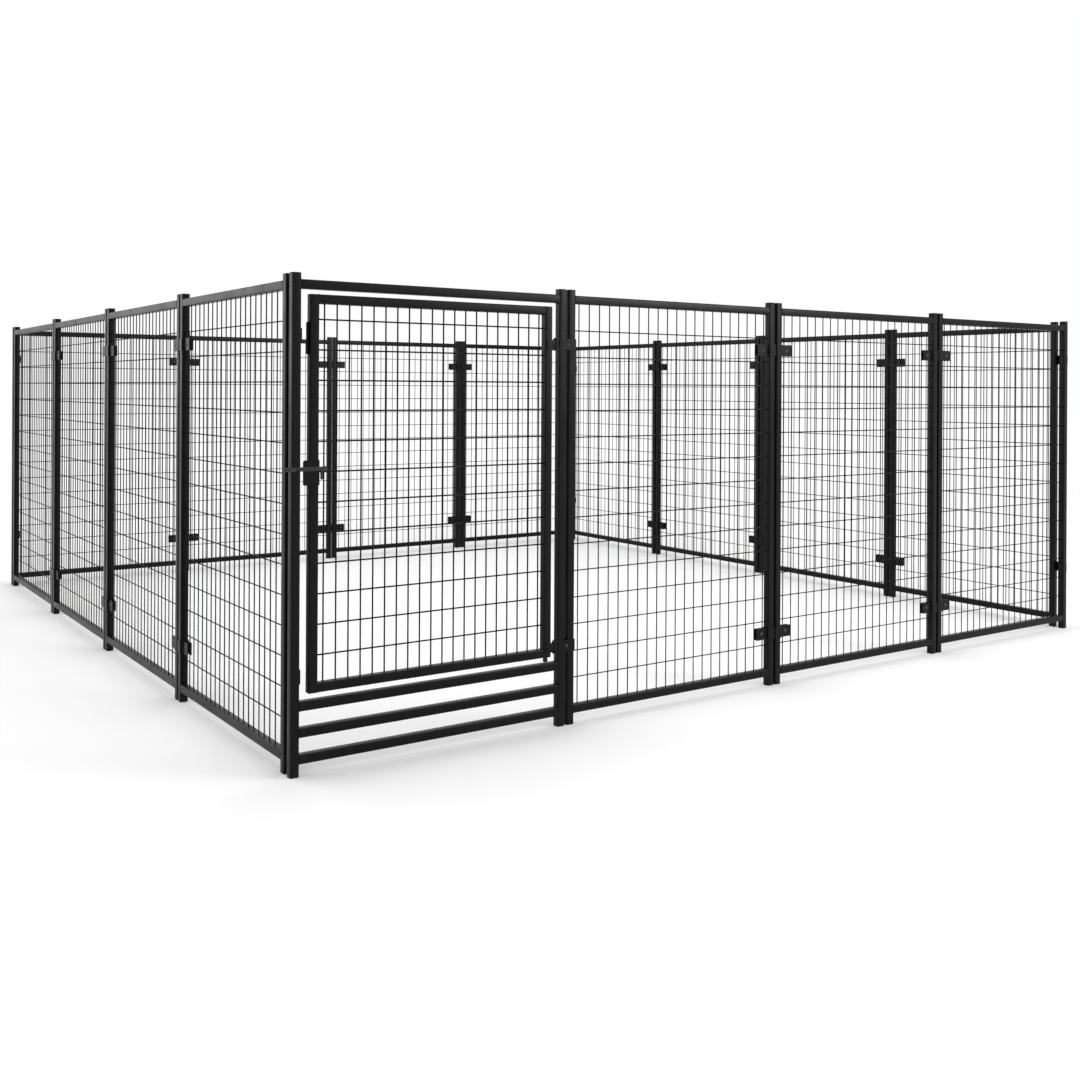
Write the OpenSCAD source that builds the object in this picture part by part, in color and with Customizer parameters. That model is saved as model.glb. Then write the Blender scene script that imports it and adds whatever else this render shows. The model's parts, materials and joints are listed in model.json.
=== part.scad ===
// Outdoor dog kennel run: an open-topped square of sixteen welded wire panels, four to a side.
// The front's first panel holds a gate. X runs along the front, Y to the rear, Z up, in millimetres.
// The origin is on the ground, under the middle of the whole run's box.

/* [Panels] */
// Width of one panel over its posts
panel_w = 1220; // [900:10:1500]
// Height from the ground to the top of the post caps
panel_h = 1830; // [1500:10:2100]
// Space between the posts of two panels in line
joint_gap = 13; // [8:0.5:18]
// Space between the two posts that meet at a corner
corner_gap = 25; // [10:1:40]
// Height of the post tops above the top rail
post_rise = 24; // [10:1:60]
// Clear height under the lowest rail
rail_lift = 45; // [25:1:90]

/* [Tube] */
// Side of the square tube
tube = 35; // [30:1:45]
// Wall of the tube
tube_wall = 1.5; // [1.2:0.1:2.5]
// Outer corner radius of the tube
tube_r = 5; // [3:0.5:8]
// Thickness of a post cap above the tube
cap_th = 3; // [2:0.5:6]
// Thickness of a foot under the tube
foot_th = 4; // [2:0.5:8]
// Depth of a cap's or foot's plug in the tube
plug_l = 15; // [8:1:25]

/* [Mesh] */
// Wire diameter of the panels
wire_d = 5; // [3:0.5:6]
// Wire diameter of the gate leaf
leaf_wire_d = 6; // [3:0.5:7]
// Spacing of the panels' upright wires, fitted to whole cells
upright_pitch = 54.8; // [45:0.1:75]
// Spacing of the panels' cross wires, fitted to whole cells
cross_pitch = 112.7; // [95:0.1:150]
// Spacing of the gate leaf's upright wires, fitted to whole cells
leaf_upright_pitch = 50.4; // [45:0.1:75]
// Spacing of the gate leaf's cross wires, from half a cell below its top rail
leaf_cross_pitch = 112; // [90:1:150]

/* [Clamps] */
// Height of a clamp
clamp_h = 55; // [40:1:65]
// Plate thickness of the clamps
clamp_th = 3; // [2:0.5:3.5]
// Depth of the groove down a clamp half, between the two posts
groove_depth = 6; // [3:0.5:9]
// Space between a clamp's wing and the wires
wing_clear = 1.5; // [1:0.1:2.5]
// Space between a clamp bolt and the first upright wire
bolt_wire_gap = 4.6; // [3:0.1:8]
// Length of a wing past its bolt
wing_edge = 33; // [15:1:40]
// Radius of the clamp and corner bolts
bolt_r = 4; // [3:0.5:5]
// Radius of their heads
bolt_head_r = 9; // [8:0.5:11]
// Height of their heads
bolt_head_h = 4; // [3:0.5:6]
// Width of their nuts over corners
nut_w = 15; // [14:0.5:18]
// Height of their nuts
nut_h = 6.5; // [5:0.5:8]
// Length of a bolt past its nut
bolt_tail = 3; // [1:0.5:5]

/* [Corners] */
// Thickness of a corner strap
strap_th = 4; // [3:0.5:6]
// Distance from a strap's ends to the posts' far faces
strap_inset = 3; // [2:0.5:6]
// Depth that a corner screw reaches into its post
screw_reach = 16; // [8:1:24]

/* [Gate] */
// Space between the leaf and each gate post
leaf_side_gap = 36; // [32:1:50]
// Space between the leaf and the top rail
leaf_top_gap = 17; // [10:1:60]
// Space between the leaf and the highest low rail
leaf_low_gap = 25; // [10:1:60]
// Spacing of the low rails
low_rail_pitch = 96; // [90:1:140]
// Radius of the rest peg under the leaf's hinge upright
peg_r = 10; // [4:0.5:12]
// Space between the peg and the highest low rail
peg_gap = 5; // [3:0.5:8]

/* [Hinges] */
// Height of a hinge band
hinge_h = 48; // [40:1:60]
// Lower hinge's height above the bottom of the leaf
hinge_rise = 38; // [30:1:60]
// Upper hinge's depth below the top of the leaf
hinge_drop = 156; // [100:1:300]
// Radius of the post band's lugs
lug_r = 9; // [8:0.5:10]
// Thickness of a lug
lug_th = 5; // [4:0.5:8]
// Radius of the leaf band's barrel
barrel_r = 8; // [7.5:0.5:8.5]
// Radius of a hinge pin
pin_r = 5; // [4:0.5:5.5]
// Height of a hinge pin's head
pin_head_h = 3; // [2:0.5:5]
// Radius of the bolt between the two posts
hinge_bolt_r = 3; // [2.5:0.5:3]
// Radius of that bolt's head
hinge_head_r = 6.5; // [6:0.5:8]
// Height of that bolt's head
hinge_head_h = 3; // [2:0.5:4]
// Width of that bolt's nut over corners
hinge_nut_w = 11.5; // [11:0.5:13]
// Height of that bolt's nut
hinge_nut_h = 5; // [4:0.5:6]

/* [Latch] */
// Height of the latch arm above the ground
latch_z = 1116; // [900:1:1400]
// Height of the bracket round the leaf's free upright
bracket_h = 92; // [70:1:120]
// Reach of the bracket's ear into the side gap
bracket_ear = 28; // [14:1:30]
// Corner radius of the ear
ear_r = 7; // [4:0.5:10]
// Distance of the bracket's middle below the arm's
bracket_drop = 14; // [0:1:20]
// Thickness of the latch arm
arm_th = 6; // [4:0.5:8]
// Height of the latch arm
arm_h = 16; // [14:0.5:20]
// Reach of the arm past the gate post
arm_past = 36; // [15:1:45]
// Length of the arm's tail from its pivot
arm_tail = 47; // [42:1:55]
// Radius of the knob at the end of the tail
knob_r = 10; // [9:0.5:13]
// Width of the thumb tab
tab_w = 9; // [6:0.5:10]
// Length of the thumb tab below the arm's middle
tab_drop = 40; // [26:1:45]
// Radius of the stud on the gate post
stud_r = 3.5; // [2.5:0.5:4]
// Radius of the stud's flange
flange_r = 8; // [6:0.5:10]
// Thickness of the stud's flange
flange_th = 2; // [1:0.5:2.5]
// Space beside the stud in the arm's notch
notch_clear = 1; // [0.6:0.1:2]
// Radius of the latch's pivot
pivot_r = 4; // [3:0.5:4.5]
// Radius of the pivot's head
pivot_head_r = 6.5; // [5:0.5:8]
// Height of the pivot's head
pivot_head_h = 4; // [3:0.5:6]
// Depth of the stop lug's middle below the top of the leaf
stop_z = 161; // [100:1:460]
// Length of the stop lug
stop_l = 119; // [60:1:140]
// Reach of the stop lug into the side gap
stop_reach = 10; // [6:0.5:14]
// Thickness of the stop lug
stop_th = 6; // [4:0.5:10]

/* [Hidden] */
$fn = 48;
// The wires are straight eight-sided bars, measured over their flats.
wire_sides = 8;
side_panels = 4;
low_rails = 3;
// Small spaces between pieces that touch, are welded, turn or slide on each other
seat = 0.1;
weld_gap = 0.1;
wire_gap = 0.05;
turn_gap = 0.05;
hole_gap = 0.3;
plug_gap = 0.2;
slide_gap = 0.3;
lug_gap = 0.5;
cut = 1;

// The run's plan
pitch = panel_w + joint_gap;
side_len = side_panels * pitch - joint_gap;
run_depth = side_len + 2 * (tube + corner_gap);

// One panel's heights and its mesh
top_rail_z = panel_h - post_rise - tube;
mesh_z0 = rail_lift + tube;
clear_w = panel_w - 2 * tube;
clear_h = top_rail_z - mesh_z0;
upright_n = round(clear_w / upright_pitch);
upright_step = clear_w / upright_n;
cross_n = round(clear_h / cross_pitch) - 1;
cross_step = clear_h / (cross_n + 1);

// Clamps and straps lie in the middle of a mesh cell, near the panel's top and bottom.
clamp_zs = [mesh_z0 + 1.5 * cross_step, mesh_z0 + (cross_n - 0.5) * cross_step];
half_pair = tube + joint_gap / 2;
clamp_x0 = half_pair + seat;
clamp_x1 = clamp_x0 + clamp_th;
clamp_y = -seat - clamp_th;
groove_x1 = joint_gap / 2 - seat;
groove_x0 = groove_x1 - clamp_th;
groove_y0 = clamp_y + groove_depth;
groove_y1 = groove_y0 + clamp_th;
wing_y0 = tube / 2 - wire_d - wire_gap / 2 - wing_clear - clamp_th;
wing_y1 = wing_y0 + clamp_th;
bolt_x = half_pair + upright_step / 2 + wire_d / 2 + bolt_wire_gap + bolt_r;
wing_end = bolt_x + wing_edge;
joints = [for (k = [0:3], i = [1:side_panels - 1]) if (k > 0 || i > 1) [k, i]];

// Corner straps lie on the right-hand faces of the corner posts, clear of the wires and of the low rails.
strap_zs = [mesh_z0 + 2.5 * cross_step, clamp_zs[1]];
strap_x = tube + seat;
strap_l = 2 * tube + corner_gap - 2 * strap_inset;
screw_ys = [tube / 2, tube * 1.5 + corner_gap];
corners = [for (mx = [0, 1], my = [0, 1]) [mx, my]];

// Gate leaf
leaf_x0 = tube + leaf_side_gap;
leaf_w = panel_w - 2 * leaf_x0;
leaf_z0 = rail_lift + (low_rails - 1) * low_rail_pitch + tube + leaf_low_gap;
leaf_h = top_rail_z - leaf_top_gap - leaf_z0;
leaf_clear_w = leaf_w - 2 * tube;
leaf_clear_h = leaf_h - 2 * tube;
leaf_upright_n = round(leaf_clear_w / leaf_upright_pitch);
leaf_cross_n = floor(leaf_clear_h / leaf_cross_pitch + 0.25);

// Hinges
hinge_x = panel_w - tube - leaf_side_gap / 2;
hinge_y = clamp_y + lug_r;
hinge_zs = [leaf_z0 + hinge_rise, leaf_z0 + leaf_h - hinge_drop];
pair_x = panel_w + joint_gap / 2;
lug_zs = [-hinge_h / 2, hinge_h / 2 - lug_th];
barrel_h = hinge_h - 2 * (lug_th + lug_gap);

// Latch, outward from the leaf's front face
pivot_x = leaf_x0 + tube / 2;
arm_y1 = clamp_y - slide_gap;
arm_y0 = arm_y1 - arm_th;
pivot_y0 = arm_y0 - slide_gap - pivot_head_h;
stud_x = tube / 2;
stud_top = stud_r + slide_gap;
tab_x = tube / 2 + seat + clamp_th;
bracket_z0 = -bracket_drop - bracket_h / 2;
stop_rise = leaf_z0 + leaf_h - stop_z - stop_l / 2;

// How far the outermost pieces stand out from the posts' faces, which centres the run on the origin
left_reach = arm_past;
right_reach = strap_th + bolt_head_h + 2 * seat;
front_reach = -pivot_y0;
rear_reach = -clamp_y;
run_x = (left_reach - right_reach) / 2;
run_y = (front_reach - rear_reach) / 2;

// Sides 0 to 3 are the front, right, rear and left one. Each side's panels are counted anticlockwise.
side_names = ["front", "right", "rear", "left"];
plain_panels = [for (k = [0:3], i = [0:side_panels - 1]) if (k > 0 || i > 0) [k, i]];
function panel_name(p) = str(side_names[p[0]], "_panel_", p[1] + 1);
function frame_name(p) = str(panel_name(p), "_frame");
function mesh_name(p) = str(panel_name(p), "_mesh");
function side_front(k) = k % 2 == 0 ? run_depth / 2 : side_len / 2;

black = [0.1, 0.1, 0.105];
plastic = [0.06, 0.06, 0.06];
zinc = [0.16, 0.16, 0.17];

// Name of one piece, or all of them

// Places its children on panel i of side k: x along the panel, y inward from the posts' outer faces.
module on_panel(p) {
    translate([run_x, run_y, 0])
        rotate(90 * p[0])
            translate([p[1] * pitch - side_len / 2, -side_front(p[0]), 0])
                children();
}

// Places its children at one corner, with x from its posts' left faces and y inward from the front or rear.
module at_corner(c) {
    translate([run_x - side_len / 2 + c[0] * (side_len - tube), run_y, 0])
        mirror([0, c[1], 0])
            translate([0, -run_depth / 2, 0])
                children();
}

// Bar along y, from y0 to y1
module y_bar(r, y0, y1) {
    translate([0, y1, 0])
        rotate([90, 0, 0])
            cylinder(r = r, h = y1 - y0);
}

// Bar along x, from x0 to x1
module x_bar(r, x0, x1) {
    translate([x0, 0, 0])
        rotate([0, 90, 0])
            cylinder(r = r, h = x1 - x0);
}

module rounded_square(side, r) {
    translate([r, 0])
        square([side - 2 * r, side]);
    translate([0, r])
        square([side, side - 2 * r]);
    for (x = [r, side - r], y = [r, side - r])
        translate([x, y])
            circle(r = r);
}

// Square tube along z with one corner at the origin
module square_tube(length) {
    linear_extrude(length)
        difference() {
            rounded_square(tube, tube_r);
            translate([tube_wall, tube_wall])
                rounded_square(tube - 2 * tube_wall, tube_r - tube_wall);
        }
}

// Post of a panel on side k, between its foot and its cap. A corner post is drilled in the run's right-hand face.
module post(k, at_corner) {
    difference() {
        translate([0, 0, foot_th])
            square_tube(panel_h - foot_th - cap_th);
        if (at_corner)
            for (z = strap_zs)
                translate([tube / 2, tube / 2, z])
                    rotate(-90 * k)
                        x_bar(bolt_r + hole_gap, 0, tube);
    }
}

// Rail along x between two posts or uprights, x0 to x1, with its underside at z
module rail(x0, x1, z) {
    translate([x0 + weld_gap, 0, z])
        rotate([90, 0, 90])
            square_tube(x1 - x0 - 2 * weld_gap);
}

// Straight wire along z, round enough for its size
module wire(d, length) {
    rotate(180 / wire_sides)
        cylinder(d = d / cos(180 / wire_sides), h = length, $fn = wire_sides);
}

// Welded wires in an opening: evenly spaced uprights in front, cross wires at their heights behind them
module wire_mesh(w, h, uprights, cross_zs, d) {
    off_middle = (d + wire_gap) / 2;
    for (i = [0:uprights - 1])
        translate([(i + 0.5) * w / uprights, tube / 2 - off_middle, weld_gap])
            wire(d, h - 2 * weld_gap);
    for (z = cross_zs)
        translate([weld_gap, tube / 2 + off_middle, z])
            rotate([90, 0, 90])
                wire(d, w - 2 * weld_gap);
}

// End plug of a tube: a flange as wide as the tube with a spigot above it
module end_plug(flange) {
    inset = tube_wall + plug_gap;
    linear_extrude(flange)
        rounded_square(tube, tube_r);
    translate([inset, inset, 0])
        linear_extrude(flange + plug_l)
            rounded_square(tube - 2 * inset, tube_r - inset);
}

module cap_plug(flange, top) {
    translate([0, tube, top])
        rotate([180, 0, 0])
            end_plug(flange);
}

// Carriage bolt along y, its head's seat at y = 0, with the shank running to y = length
module carriage_bolt(r, head_r, head_h, length) {
    rim = head_h / 3;
    rotate([-90, 0, 0]) {
        translate([0, 0, -rim])
            cylinder(r = head_r, h = rim);
        translate([0, 0, -head_h])
            cylinder(r1 = head_r * 0.55, r2 = head_r, h = head_h - rim);
        cylinder(r = r, h = length);
    }
}

// Hexagon nut along y from y = 0
module hex_nut(r, w, h) {
    rotate([-90, 0, 0])
        difference() {
            cylinder(d = w, h = h, $fn = 6);
            translate([0, 0, -cut])
                cylinder(r = r + turn_gap, h = h + 2 * cut);
        }
}

module panel_frame(p) {
    color(black)
        on_panel(p) {
            post(p[0], p[1] == 0);
            translate([panel_w - tube, 0, 0])
                post(p[0], p[1] == side_panels - 1);
            rail(tube, panel_w - tube, rail_lift);
            rail(tube, panel_w - tube, top_rail_z);
        }
}

module panel_mesh(p) {
    color(black)
        on_panel(p)
            translate([tube, 0, mesh_z0])
                wire_mesh(clear_w, clear_h, upright_n, [for (i = [1:cross_n]) i * cross_step], wire_d);
}

module gate_surround() {
    color(black)
        on_panel([0, 0]) {
            post(0, true);
            translate([panel_w - tube, 0, 0])
                post(0, false);
            rail(tube, panel_w - tube, top_rail_z);
            for (i = [0:low_rails - 1])
                rail(tube, panel_w - tube, rail_lift + i * low_rail_pitch);
        }
}

// The leaf's uprights run its full height between their end caps. The free one is drilled for the latch.
module gate_leaf_frame() {
    color(black)
        on_panel([0, 0]) {
            difference() {
                translate([leaf_x0, 0, leaf_z0 + cap_th])
                    square_tube(leaf_h - 2 * cap_th);
                translate([pivot_x, 0, latch_z])
                    y_bar(pivot_r + hole_gap, -cut, tube + cut);
            }
            translate([leaf_x0 + leaf_w - tube, 0, leaf_z0 + cap_th])
                square_tube(leaf_h - 2 * cap_th);
            for (z = [leaf_z0, leaf_z0 + leaf_h - tube])
                rail(leaf_x0 + tube, leaf_x0 + leaf_w - tube, z);
        }
}

module gate_leaf_mesh() {
    cross_zs = [for (i = [1:leaf_cross_n]) leaf_clear_h - (i - 0.5) * leaf_cross_pitch];
    color(black)
        on_panel([0, 0])
            translate([leaf_x0 + tube, 0, leaf_z0 + tube])
                wire_mesh(leaf_clear_w, leaf_clear_h, leaf_upright_n, cross_zs, leaf_wire_d);
}

// End caps of the leaf's uprights. The one under the hinge upright has a rest peg.
module leaf_caps() {
    color(plastic)
        on_panel([0, 0]) {
            for (x = [leaf_x0, leaf_x0 + leaf_w - tube])
                translate([x, 0, 0]) {
                    translate([0, 0, leaf_z0])
                        end_plug(cap_th);
                    cap_plug(cap_th, leaf_z0 + leaf_h);
                }
            translate([leaf_x0 + leaf_w - tube / 2, tube / 2, leaf_z0 - leaf_low_gap + peg_gap])
                cylinder(r = peg_r, h = leaf_low_gap - peg_gap + cap_th);
        }
}

module post_caps() {
    color(plastic)
        for (k = [0:3], i = [0:side_panels - 1])
            on_panel([k, i])
                for (x = [0, panel_w - tube])
                    translate([x, 0, 0])
                        cap_plug(cap_th, panel_h);
}

module post_feet() {
    color(plastic)
        for (k = [0:3], i = [0:side_panels - 1])
            on_panel([k, i])
                for (x = [0, panel_w - tube])
                    translate([x, 0, 0])
                        end_plug(foot_th);
}

// Places its children at the middle of each clamp, on the joint's centre line.
module at_clamps() {
    for (j = joints, z = clamp_zs)
        on_panel(j)
            translate([-joint_gap / 2, 0, z])
                children();
}

// Plan of a clamp half over a pair of posts: a groove between them and a wing along the mesh on each side
module clamp_plan() {
    right = [[groove_x0, groove_y0], [groove_x0, clamp_y], [clamp_x1, clamp_y], [clamp_x1, wing_y0],
             [wing_end, wing_y0], [wing_end, wing_y1], [clamp_x0, wing_y1], [clamp_x0, -seat],
             [groove_x1, -seat], [groove_x1, groove_y1]];
    left = [for (i = [len(right) - 1:-1:0]) [-right[i][0], right[i][1]]];
    polygon(concat(right, left));
}

module clamp_half() {
    difference() {
        translate([0, 0, -clamp_h / 2])
            linear_extrude(clamp_h)
                clamp_plan();
        for (x = [-bolt_x, bolt_x])
            translate([x, 0, 0])
                y_bar(bolt_r + hole_gap, wing_y0 - cut, wing_y1 + cut);
    }
}

// Turns an outer half into the inner one, on the other side of the posts.
module inward() {
    translate([0, tube, 0])
        mirror([0, 1, 0])
            children();
}

module clamp_outer_halves() {
    color(black)
        at_clamps()
            clamp_half();
}

module clamp_inner_halves() {
    color(black)
        at_clamps()
            inward()
                clamp_half();
}

module clamp_bolts() {
    head_y = wing_y0 - seat;
    nut_end = tube - wing_y0 + seat + nut_h;
    color(zinc)
        at_clamps()
            for (x = [-bolt_x, bolt_x])
                translate([x, head_y, 0])
                    carriage_bolt(bolt_r, bolt_head_r, bolt_head_h, nut_end + bolt_tail - head_y);
}

module clamp_nuts() {
    color(zinc)
        at_clamps()
            for (x = [-bolt_x, bolt_x])
                translate([x, tube - wing_y0 + seat, 0])
                    hex_nut(bolt_r, nut_w, nut_h);
}

// Places its children at each strap's height in each corner.
module at_straps() {
    for (c = corners, z = strap_zs)
        at_corner(c)
            translate([0, 0, z])
                children();
}

module corner_straps() {
    color(black)
        at_straps()
            difference() {
                translate([strap_x, strap_inset, -clamp_h / 2])
                    cube([strap_th, strap_l, clamp_h]);
                for (y = screw_ys)
                    translate([strap_x, y, 0])
                        x_bar(bolt_r + hole_gap, -cut, strap_th + cut);
            }
}

// Round-headed screws through the straps into the posts
module corner_screws() {
    head_x = strap_x + strap_th + seat;
    color(zinc)
        at_straps()
            for (y = screw_ys)
                translate([head_x, y, 0])
                    rotate(90)
                        carriage_bolt(bolt_r, bolt_head_r, bolt_head_h, head_x - tube + screw_reach);
}

// Places its children at each hinge, on the gate panel.
module at_hinges() {
    for (z = hinge_zs)
        on_panel([0, 0])
            translate([0, 0, z])
                children();
}

// Plan of a hinge band half over the post pair: a clamp's plan without wings
module band_plan() {
    right = [[clamp_x1, clamp_y], [clamp_x1, wing_y1], [clamp_x0, wing_y1], [clamp_x0, -seat]];
    left = [for (i = [len(right) - 1:-1:0]) [-right[i][0], right[i][1]]];
    polygon(concat(right, left));
}

module hinge_band() {
    translate([pair_x, 0, 0])
        difference() {
            translate([0, 0, -hinge_h / 2])
                linear_extrude(hinge_h)
                    band_plan();
            y_bar(hinge_bolt_r + hole_gap, clamp_y - cut, cut);
        }
}

// Outer band with an upper and a lower lug that hold the pin in the side gap
module hinge_post_bands() {
    web_l = leaf_side_gap / 2 - seat;
    color(black)
        at_hinges() {
            difference() {
                union() {
                    hinge_band();
                    for (z = lug_zs)
                        translate([hinge_x, hinge_y, z]) {
                            cylinder(r = lug_r, h = lug_th);
                            translate([0, -lug_r, 0])
                                cube([web_l, lug_r * 1.5, lug_th]);
                        }
                }
                translate([hinge_x, hinge_y, -hinge_h])
                    cylinder(r = pin_r + turn_gap, h = 2 * hinge_h);
            }
        }
}

module hinge_back_bands() {
    color(black)
        at_hinges()
            inward()
                hinge_band();
}

module hinge_bolts() {
    head_y = clamp_y - seat;
    nut_end = tube - clamp_y + seat + hinge_nut_h;
    color(zinc)
        at_hinges()
            translate([pair_x, head_y, 0])
                carriage_bolt(hinge_bolt_r, hinge_head_r, hinge_head_h, nut_end + bolt_tail - head_y);
}

module hinge_nuts() {
    color(zinc)
        at_hinges()
            translate([pair_x, tube - clamp_y + seat, 0])
                hex_nut(hinge_bolt_r, hinge_nut_w, hinge_nut_h);
}

module hinge_pins() {
    color(zinc)
        at_hinges()
            translate([hinge_x, hinge_y, 0]) {
                translate([0, 0, -hinge_h / 2 - bolt_tail])
                    cylinder(r = pin_r, h = hinge_h + bolt_tail + seat);
                translate([0, 0, hinge_h / 2 + seat])
                    cylinder(r1 = lug_r - 1, r2 = pin_r, h = pin_head_h);
            }
}

// Band round three sides of the leaf's upright, with a barrel that turns on the pin between the lugs
module hinge_leaf_bands() {
    face_x = leaf_x0 + leaf_w + seat;
    web_l = hinge_x - face_x;
    back_l = tube - tube_r;
    color(black)
        at_hinges()
            difference() {
                union() {
                    translate([face_x, clamp_y, -barrel_h / 2])
                        cube([clamp_th, tube - 2 * clamp_y, barrel_h]);
                    for (y = [clamp_y, tube + seat])
                        translate([face_x - back_l, y, -barrel_h / 2])
                            cube([back_l + clamp_th, clamp_th, barrel_h]);
                    translate([hinge_x, hinge_y, -barrel_h / 2])
                        cylinder(r = barrel_r, h = barrel_h);
                    translate([face_x, hinge_y - barrel_r, -barrel_h / 2])
                        cube([web_l, barrel_r * 1.5, barrel_h]);
                }
                translate([hinge_x, hinge_y, -hinge_h])
                    cylinder(r = pin_r + turn_gap, h = 2 * hinge_h);
            }
}

// Places its children at the latch's pivot, on the leaf's front face.
module at_pivot() {
    on_panel([0, 0])
        translate([pivot_x, 0, latch_z])
            children();
}

// Bracket round three sides of the free upright, with a round-cornered ear in the side gap
module latch_bracket() {
    side_x = tube / 2 + seat;
    ear_x = -tube / 2 - bracket_ear;
    color(black)
        at_pivot()
            difference() {
                union() {
                    translate([ear_x + ear_r, clamp_y, bracket_z0])
                        cube([side_x + clamp_th - ear_x - ear_r, clamp_th, bracket_h]);
                    translate([ear_x, clamp_y, bracket_z0 + ear_r])
                        cube([2 * ear_r, clamp_th, bracket_h - 2 * ear_r]);
                    for (z = [ear_r, bracket_h - ear_r])
                        translate([ear_x + ear_r, 0, bracket_z0 + z])
                            y_bar(ear_r, clamp_y, -seat);
                    translate([side_x, clamp_y, bracket_z0])
                        cube([clamp_th, wing_y1 - clamp_y, bracket_h]);
                }
                y_bar(pivot_r + turn_gap, clamp_y - cut, cut);
            }
}

// Flat lift arm: a bar with round ends, a knob on its tail, a thumb tab and a notch over the stud
module latch_arm() {
    tip_x = -arm_past - pivot_x + arm_h / 2;
    notch_x = stud_x - pivot_x;
    notch_r = stud_r + notch_clear;
    color(black)
        at_pivot()
            difference() {
                union() {
                    translate([tip_x, arm_y0, -arm_h / 2])
                        cube([arm_tail - knob_r - tip_x, arm_th, arm_h]);
                    translate([tip_x, 0, 0])
                        y_bar(arm_h / 2, arm_y0, arm_y1);
                    translate([arm_tail - knob_r, 0, 0])
                        y_bar(knob_r, arm_y0, arm_y1);
                    translate([tab_x, arm_y0, tab_w / 2 - tab_drop])
                        cube([tab_w, arm_th, tab_drop - tab_w / 2]);
                    translate([tab_x + tab_w / 2, 0, tab_w / 2 - tab_drop])
                        y_bar(tab_w / 2, arm_y0, arm_y1);
                }
                y_bar(pivot_r + turn_gap, arm_y0 - cut, arm_y1 + cut);
                translate([notch_x - notch_r, arm_y0 - cut, -arm_h])
                    cube([2 * notch_r, arm_th + 2 * cut, arm_h + stud_top]);
            }
}

// Pivot bolt through the arm, the bracket and the upright
module latch_pivot() {
    nut_end = tube + seat + nut_h;
    color(zinc)
        at_pivot()
            translate([0, arm_y0 - slide_gap, 0])
                carriage_bolt(pivot_r, pivot_head_r, pivot_head_h, nut_end + bolt_tail - arm_y0 + slide_gap);
}

module latch_nut() {
    color(zinc)
        at_pivot()
            translate([0, tube + seat, 0])
                hex_nut(pivot_r, nut_w, nut_h);
}

// Plain stud with a flange on the front of the gate post, as long as the arm is deep
module latch_stud() {
    color(black)
        on_panel([0, 0])
            translate([stud_x, 0, latch_z]) {
                y_bar(stud_r, arm_y0 - slide_gap, -seat);
                y_bar(flange_r, -seat - flange_th, -seat);
            }
}

// Round-ended plate on the leaf's free edge
module stop_lug() {
    r = stop_reach / 2;
    y0 = (tube - stop_th) / 2;
    color(black)
        on_panel([0, 0])
            translate([leaf_x0 - seat - stop_reach, 0, stop_rise]) {
                translate([r, y0, 0])
                    cube([stop_reach - r, stop_th, stop_l]);
                translate([0, y0, r])
                    cube([2 * r, stop_th, stop_l - 2 * r]);
                for (z = [r, stop_l - r])
                    translate([r, 0, z])
                        y_bar(r, y0, y0 + stop_th);
            }
}

for (p = plain_panels) {
    panel_frame(p);
    panel_mesh(p);
}
gate_surround();
gate_leaf_frame();
gate_leaf_mesh();
leaf_caps();
post_caps();
post_feet();
clamp_outer_halves();
clamp_inner_halves();
clamp_bolts();
clamp_nuts();
corner_straps();
corner_screws();
hinge_post_bands();
hinge_back_bands();
hinge_bolts();
hinge_nuts();
hinge_pins();
hinge_leaf_bands();
latch_bracket();
latch_arm();
latch_pivot();
latch_nut();
latch_stud();
stop_lug();
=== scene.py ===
"""The kennel run's looks: tubes with weld beads, wires, bent clamps, fasteners, gate and latch."""

import json
import math

import bmesh
import bpy
from mathutils import Matrix, Vector

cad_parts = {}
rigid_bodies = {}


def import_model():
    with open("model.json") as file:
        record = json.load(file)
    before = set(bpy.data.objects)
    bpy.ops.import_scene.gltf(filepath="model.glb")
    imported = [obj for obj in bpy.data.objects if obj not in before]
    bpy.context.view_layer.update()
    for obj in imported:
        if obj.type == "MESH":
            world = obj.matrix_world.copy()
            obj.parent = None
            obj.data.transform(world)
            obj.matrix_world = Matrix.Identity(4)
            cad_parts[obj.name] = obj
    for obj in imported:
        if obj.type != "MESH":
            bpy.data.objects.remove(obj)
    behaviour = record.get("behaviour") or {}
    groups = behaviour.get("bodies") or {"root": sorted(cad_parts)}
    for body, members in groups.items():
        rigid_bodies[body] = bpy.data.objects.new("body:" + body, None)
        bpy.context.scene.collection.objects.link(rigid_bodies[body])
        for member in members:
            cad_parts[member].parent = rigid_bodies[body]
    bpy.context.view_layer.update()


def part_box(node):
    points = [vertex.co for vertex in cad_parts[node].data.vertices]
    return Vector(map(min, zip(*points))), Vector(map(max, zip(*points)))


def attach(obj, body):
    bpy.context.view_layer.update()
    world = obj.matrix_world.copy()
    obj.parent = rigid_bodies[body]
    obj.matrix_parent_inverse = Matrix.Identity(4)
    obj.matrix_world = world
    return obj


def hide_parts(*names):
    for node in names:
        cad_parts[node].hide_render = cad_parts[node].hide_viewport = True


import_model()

MM = 0.001

# Sizes shared with the part, in metres. The run's plan is read from the frame.
feet_low, feet_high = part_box("post_feet")
panel_low, panel_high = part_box("front_panel_2_frame")
next_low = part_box("front_panel_3_frame")[0]
RUN_MID = (feet_low + feet_high) / 2
SIDE_LEN = feet_high.x - feet_low.x
RUN_DEPTH = feet_high.y - feet_low.y
PANEL_W = panel_high.x - panel_low.x
PITCH = next_low.x - panel_low.x
JOINT_GAP = PITCH - PANEL_W
TUBE = panel_high.y - panel_low.y
PANEL_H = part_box("post_caps")[1].z
SIDE_PANELS = 4
CORNER_GAP = (RUN_DEPTH - SIDE_LEN) / 2 - TUBE

TUBE_R = 5 * MM
POST_RISE = 24 * MM
RAIL_LIFT = 45 * MM
CAP_TH = 3 * MM
FOOT_TH = 4 * MM
WELD_GAP = 0.1 * MM
SEAT = 0.1 * MM

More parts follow.
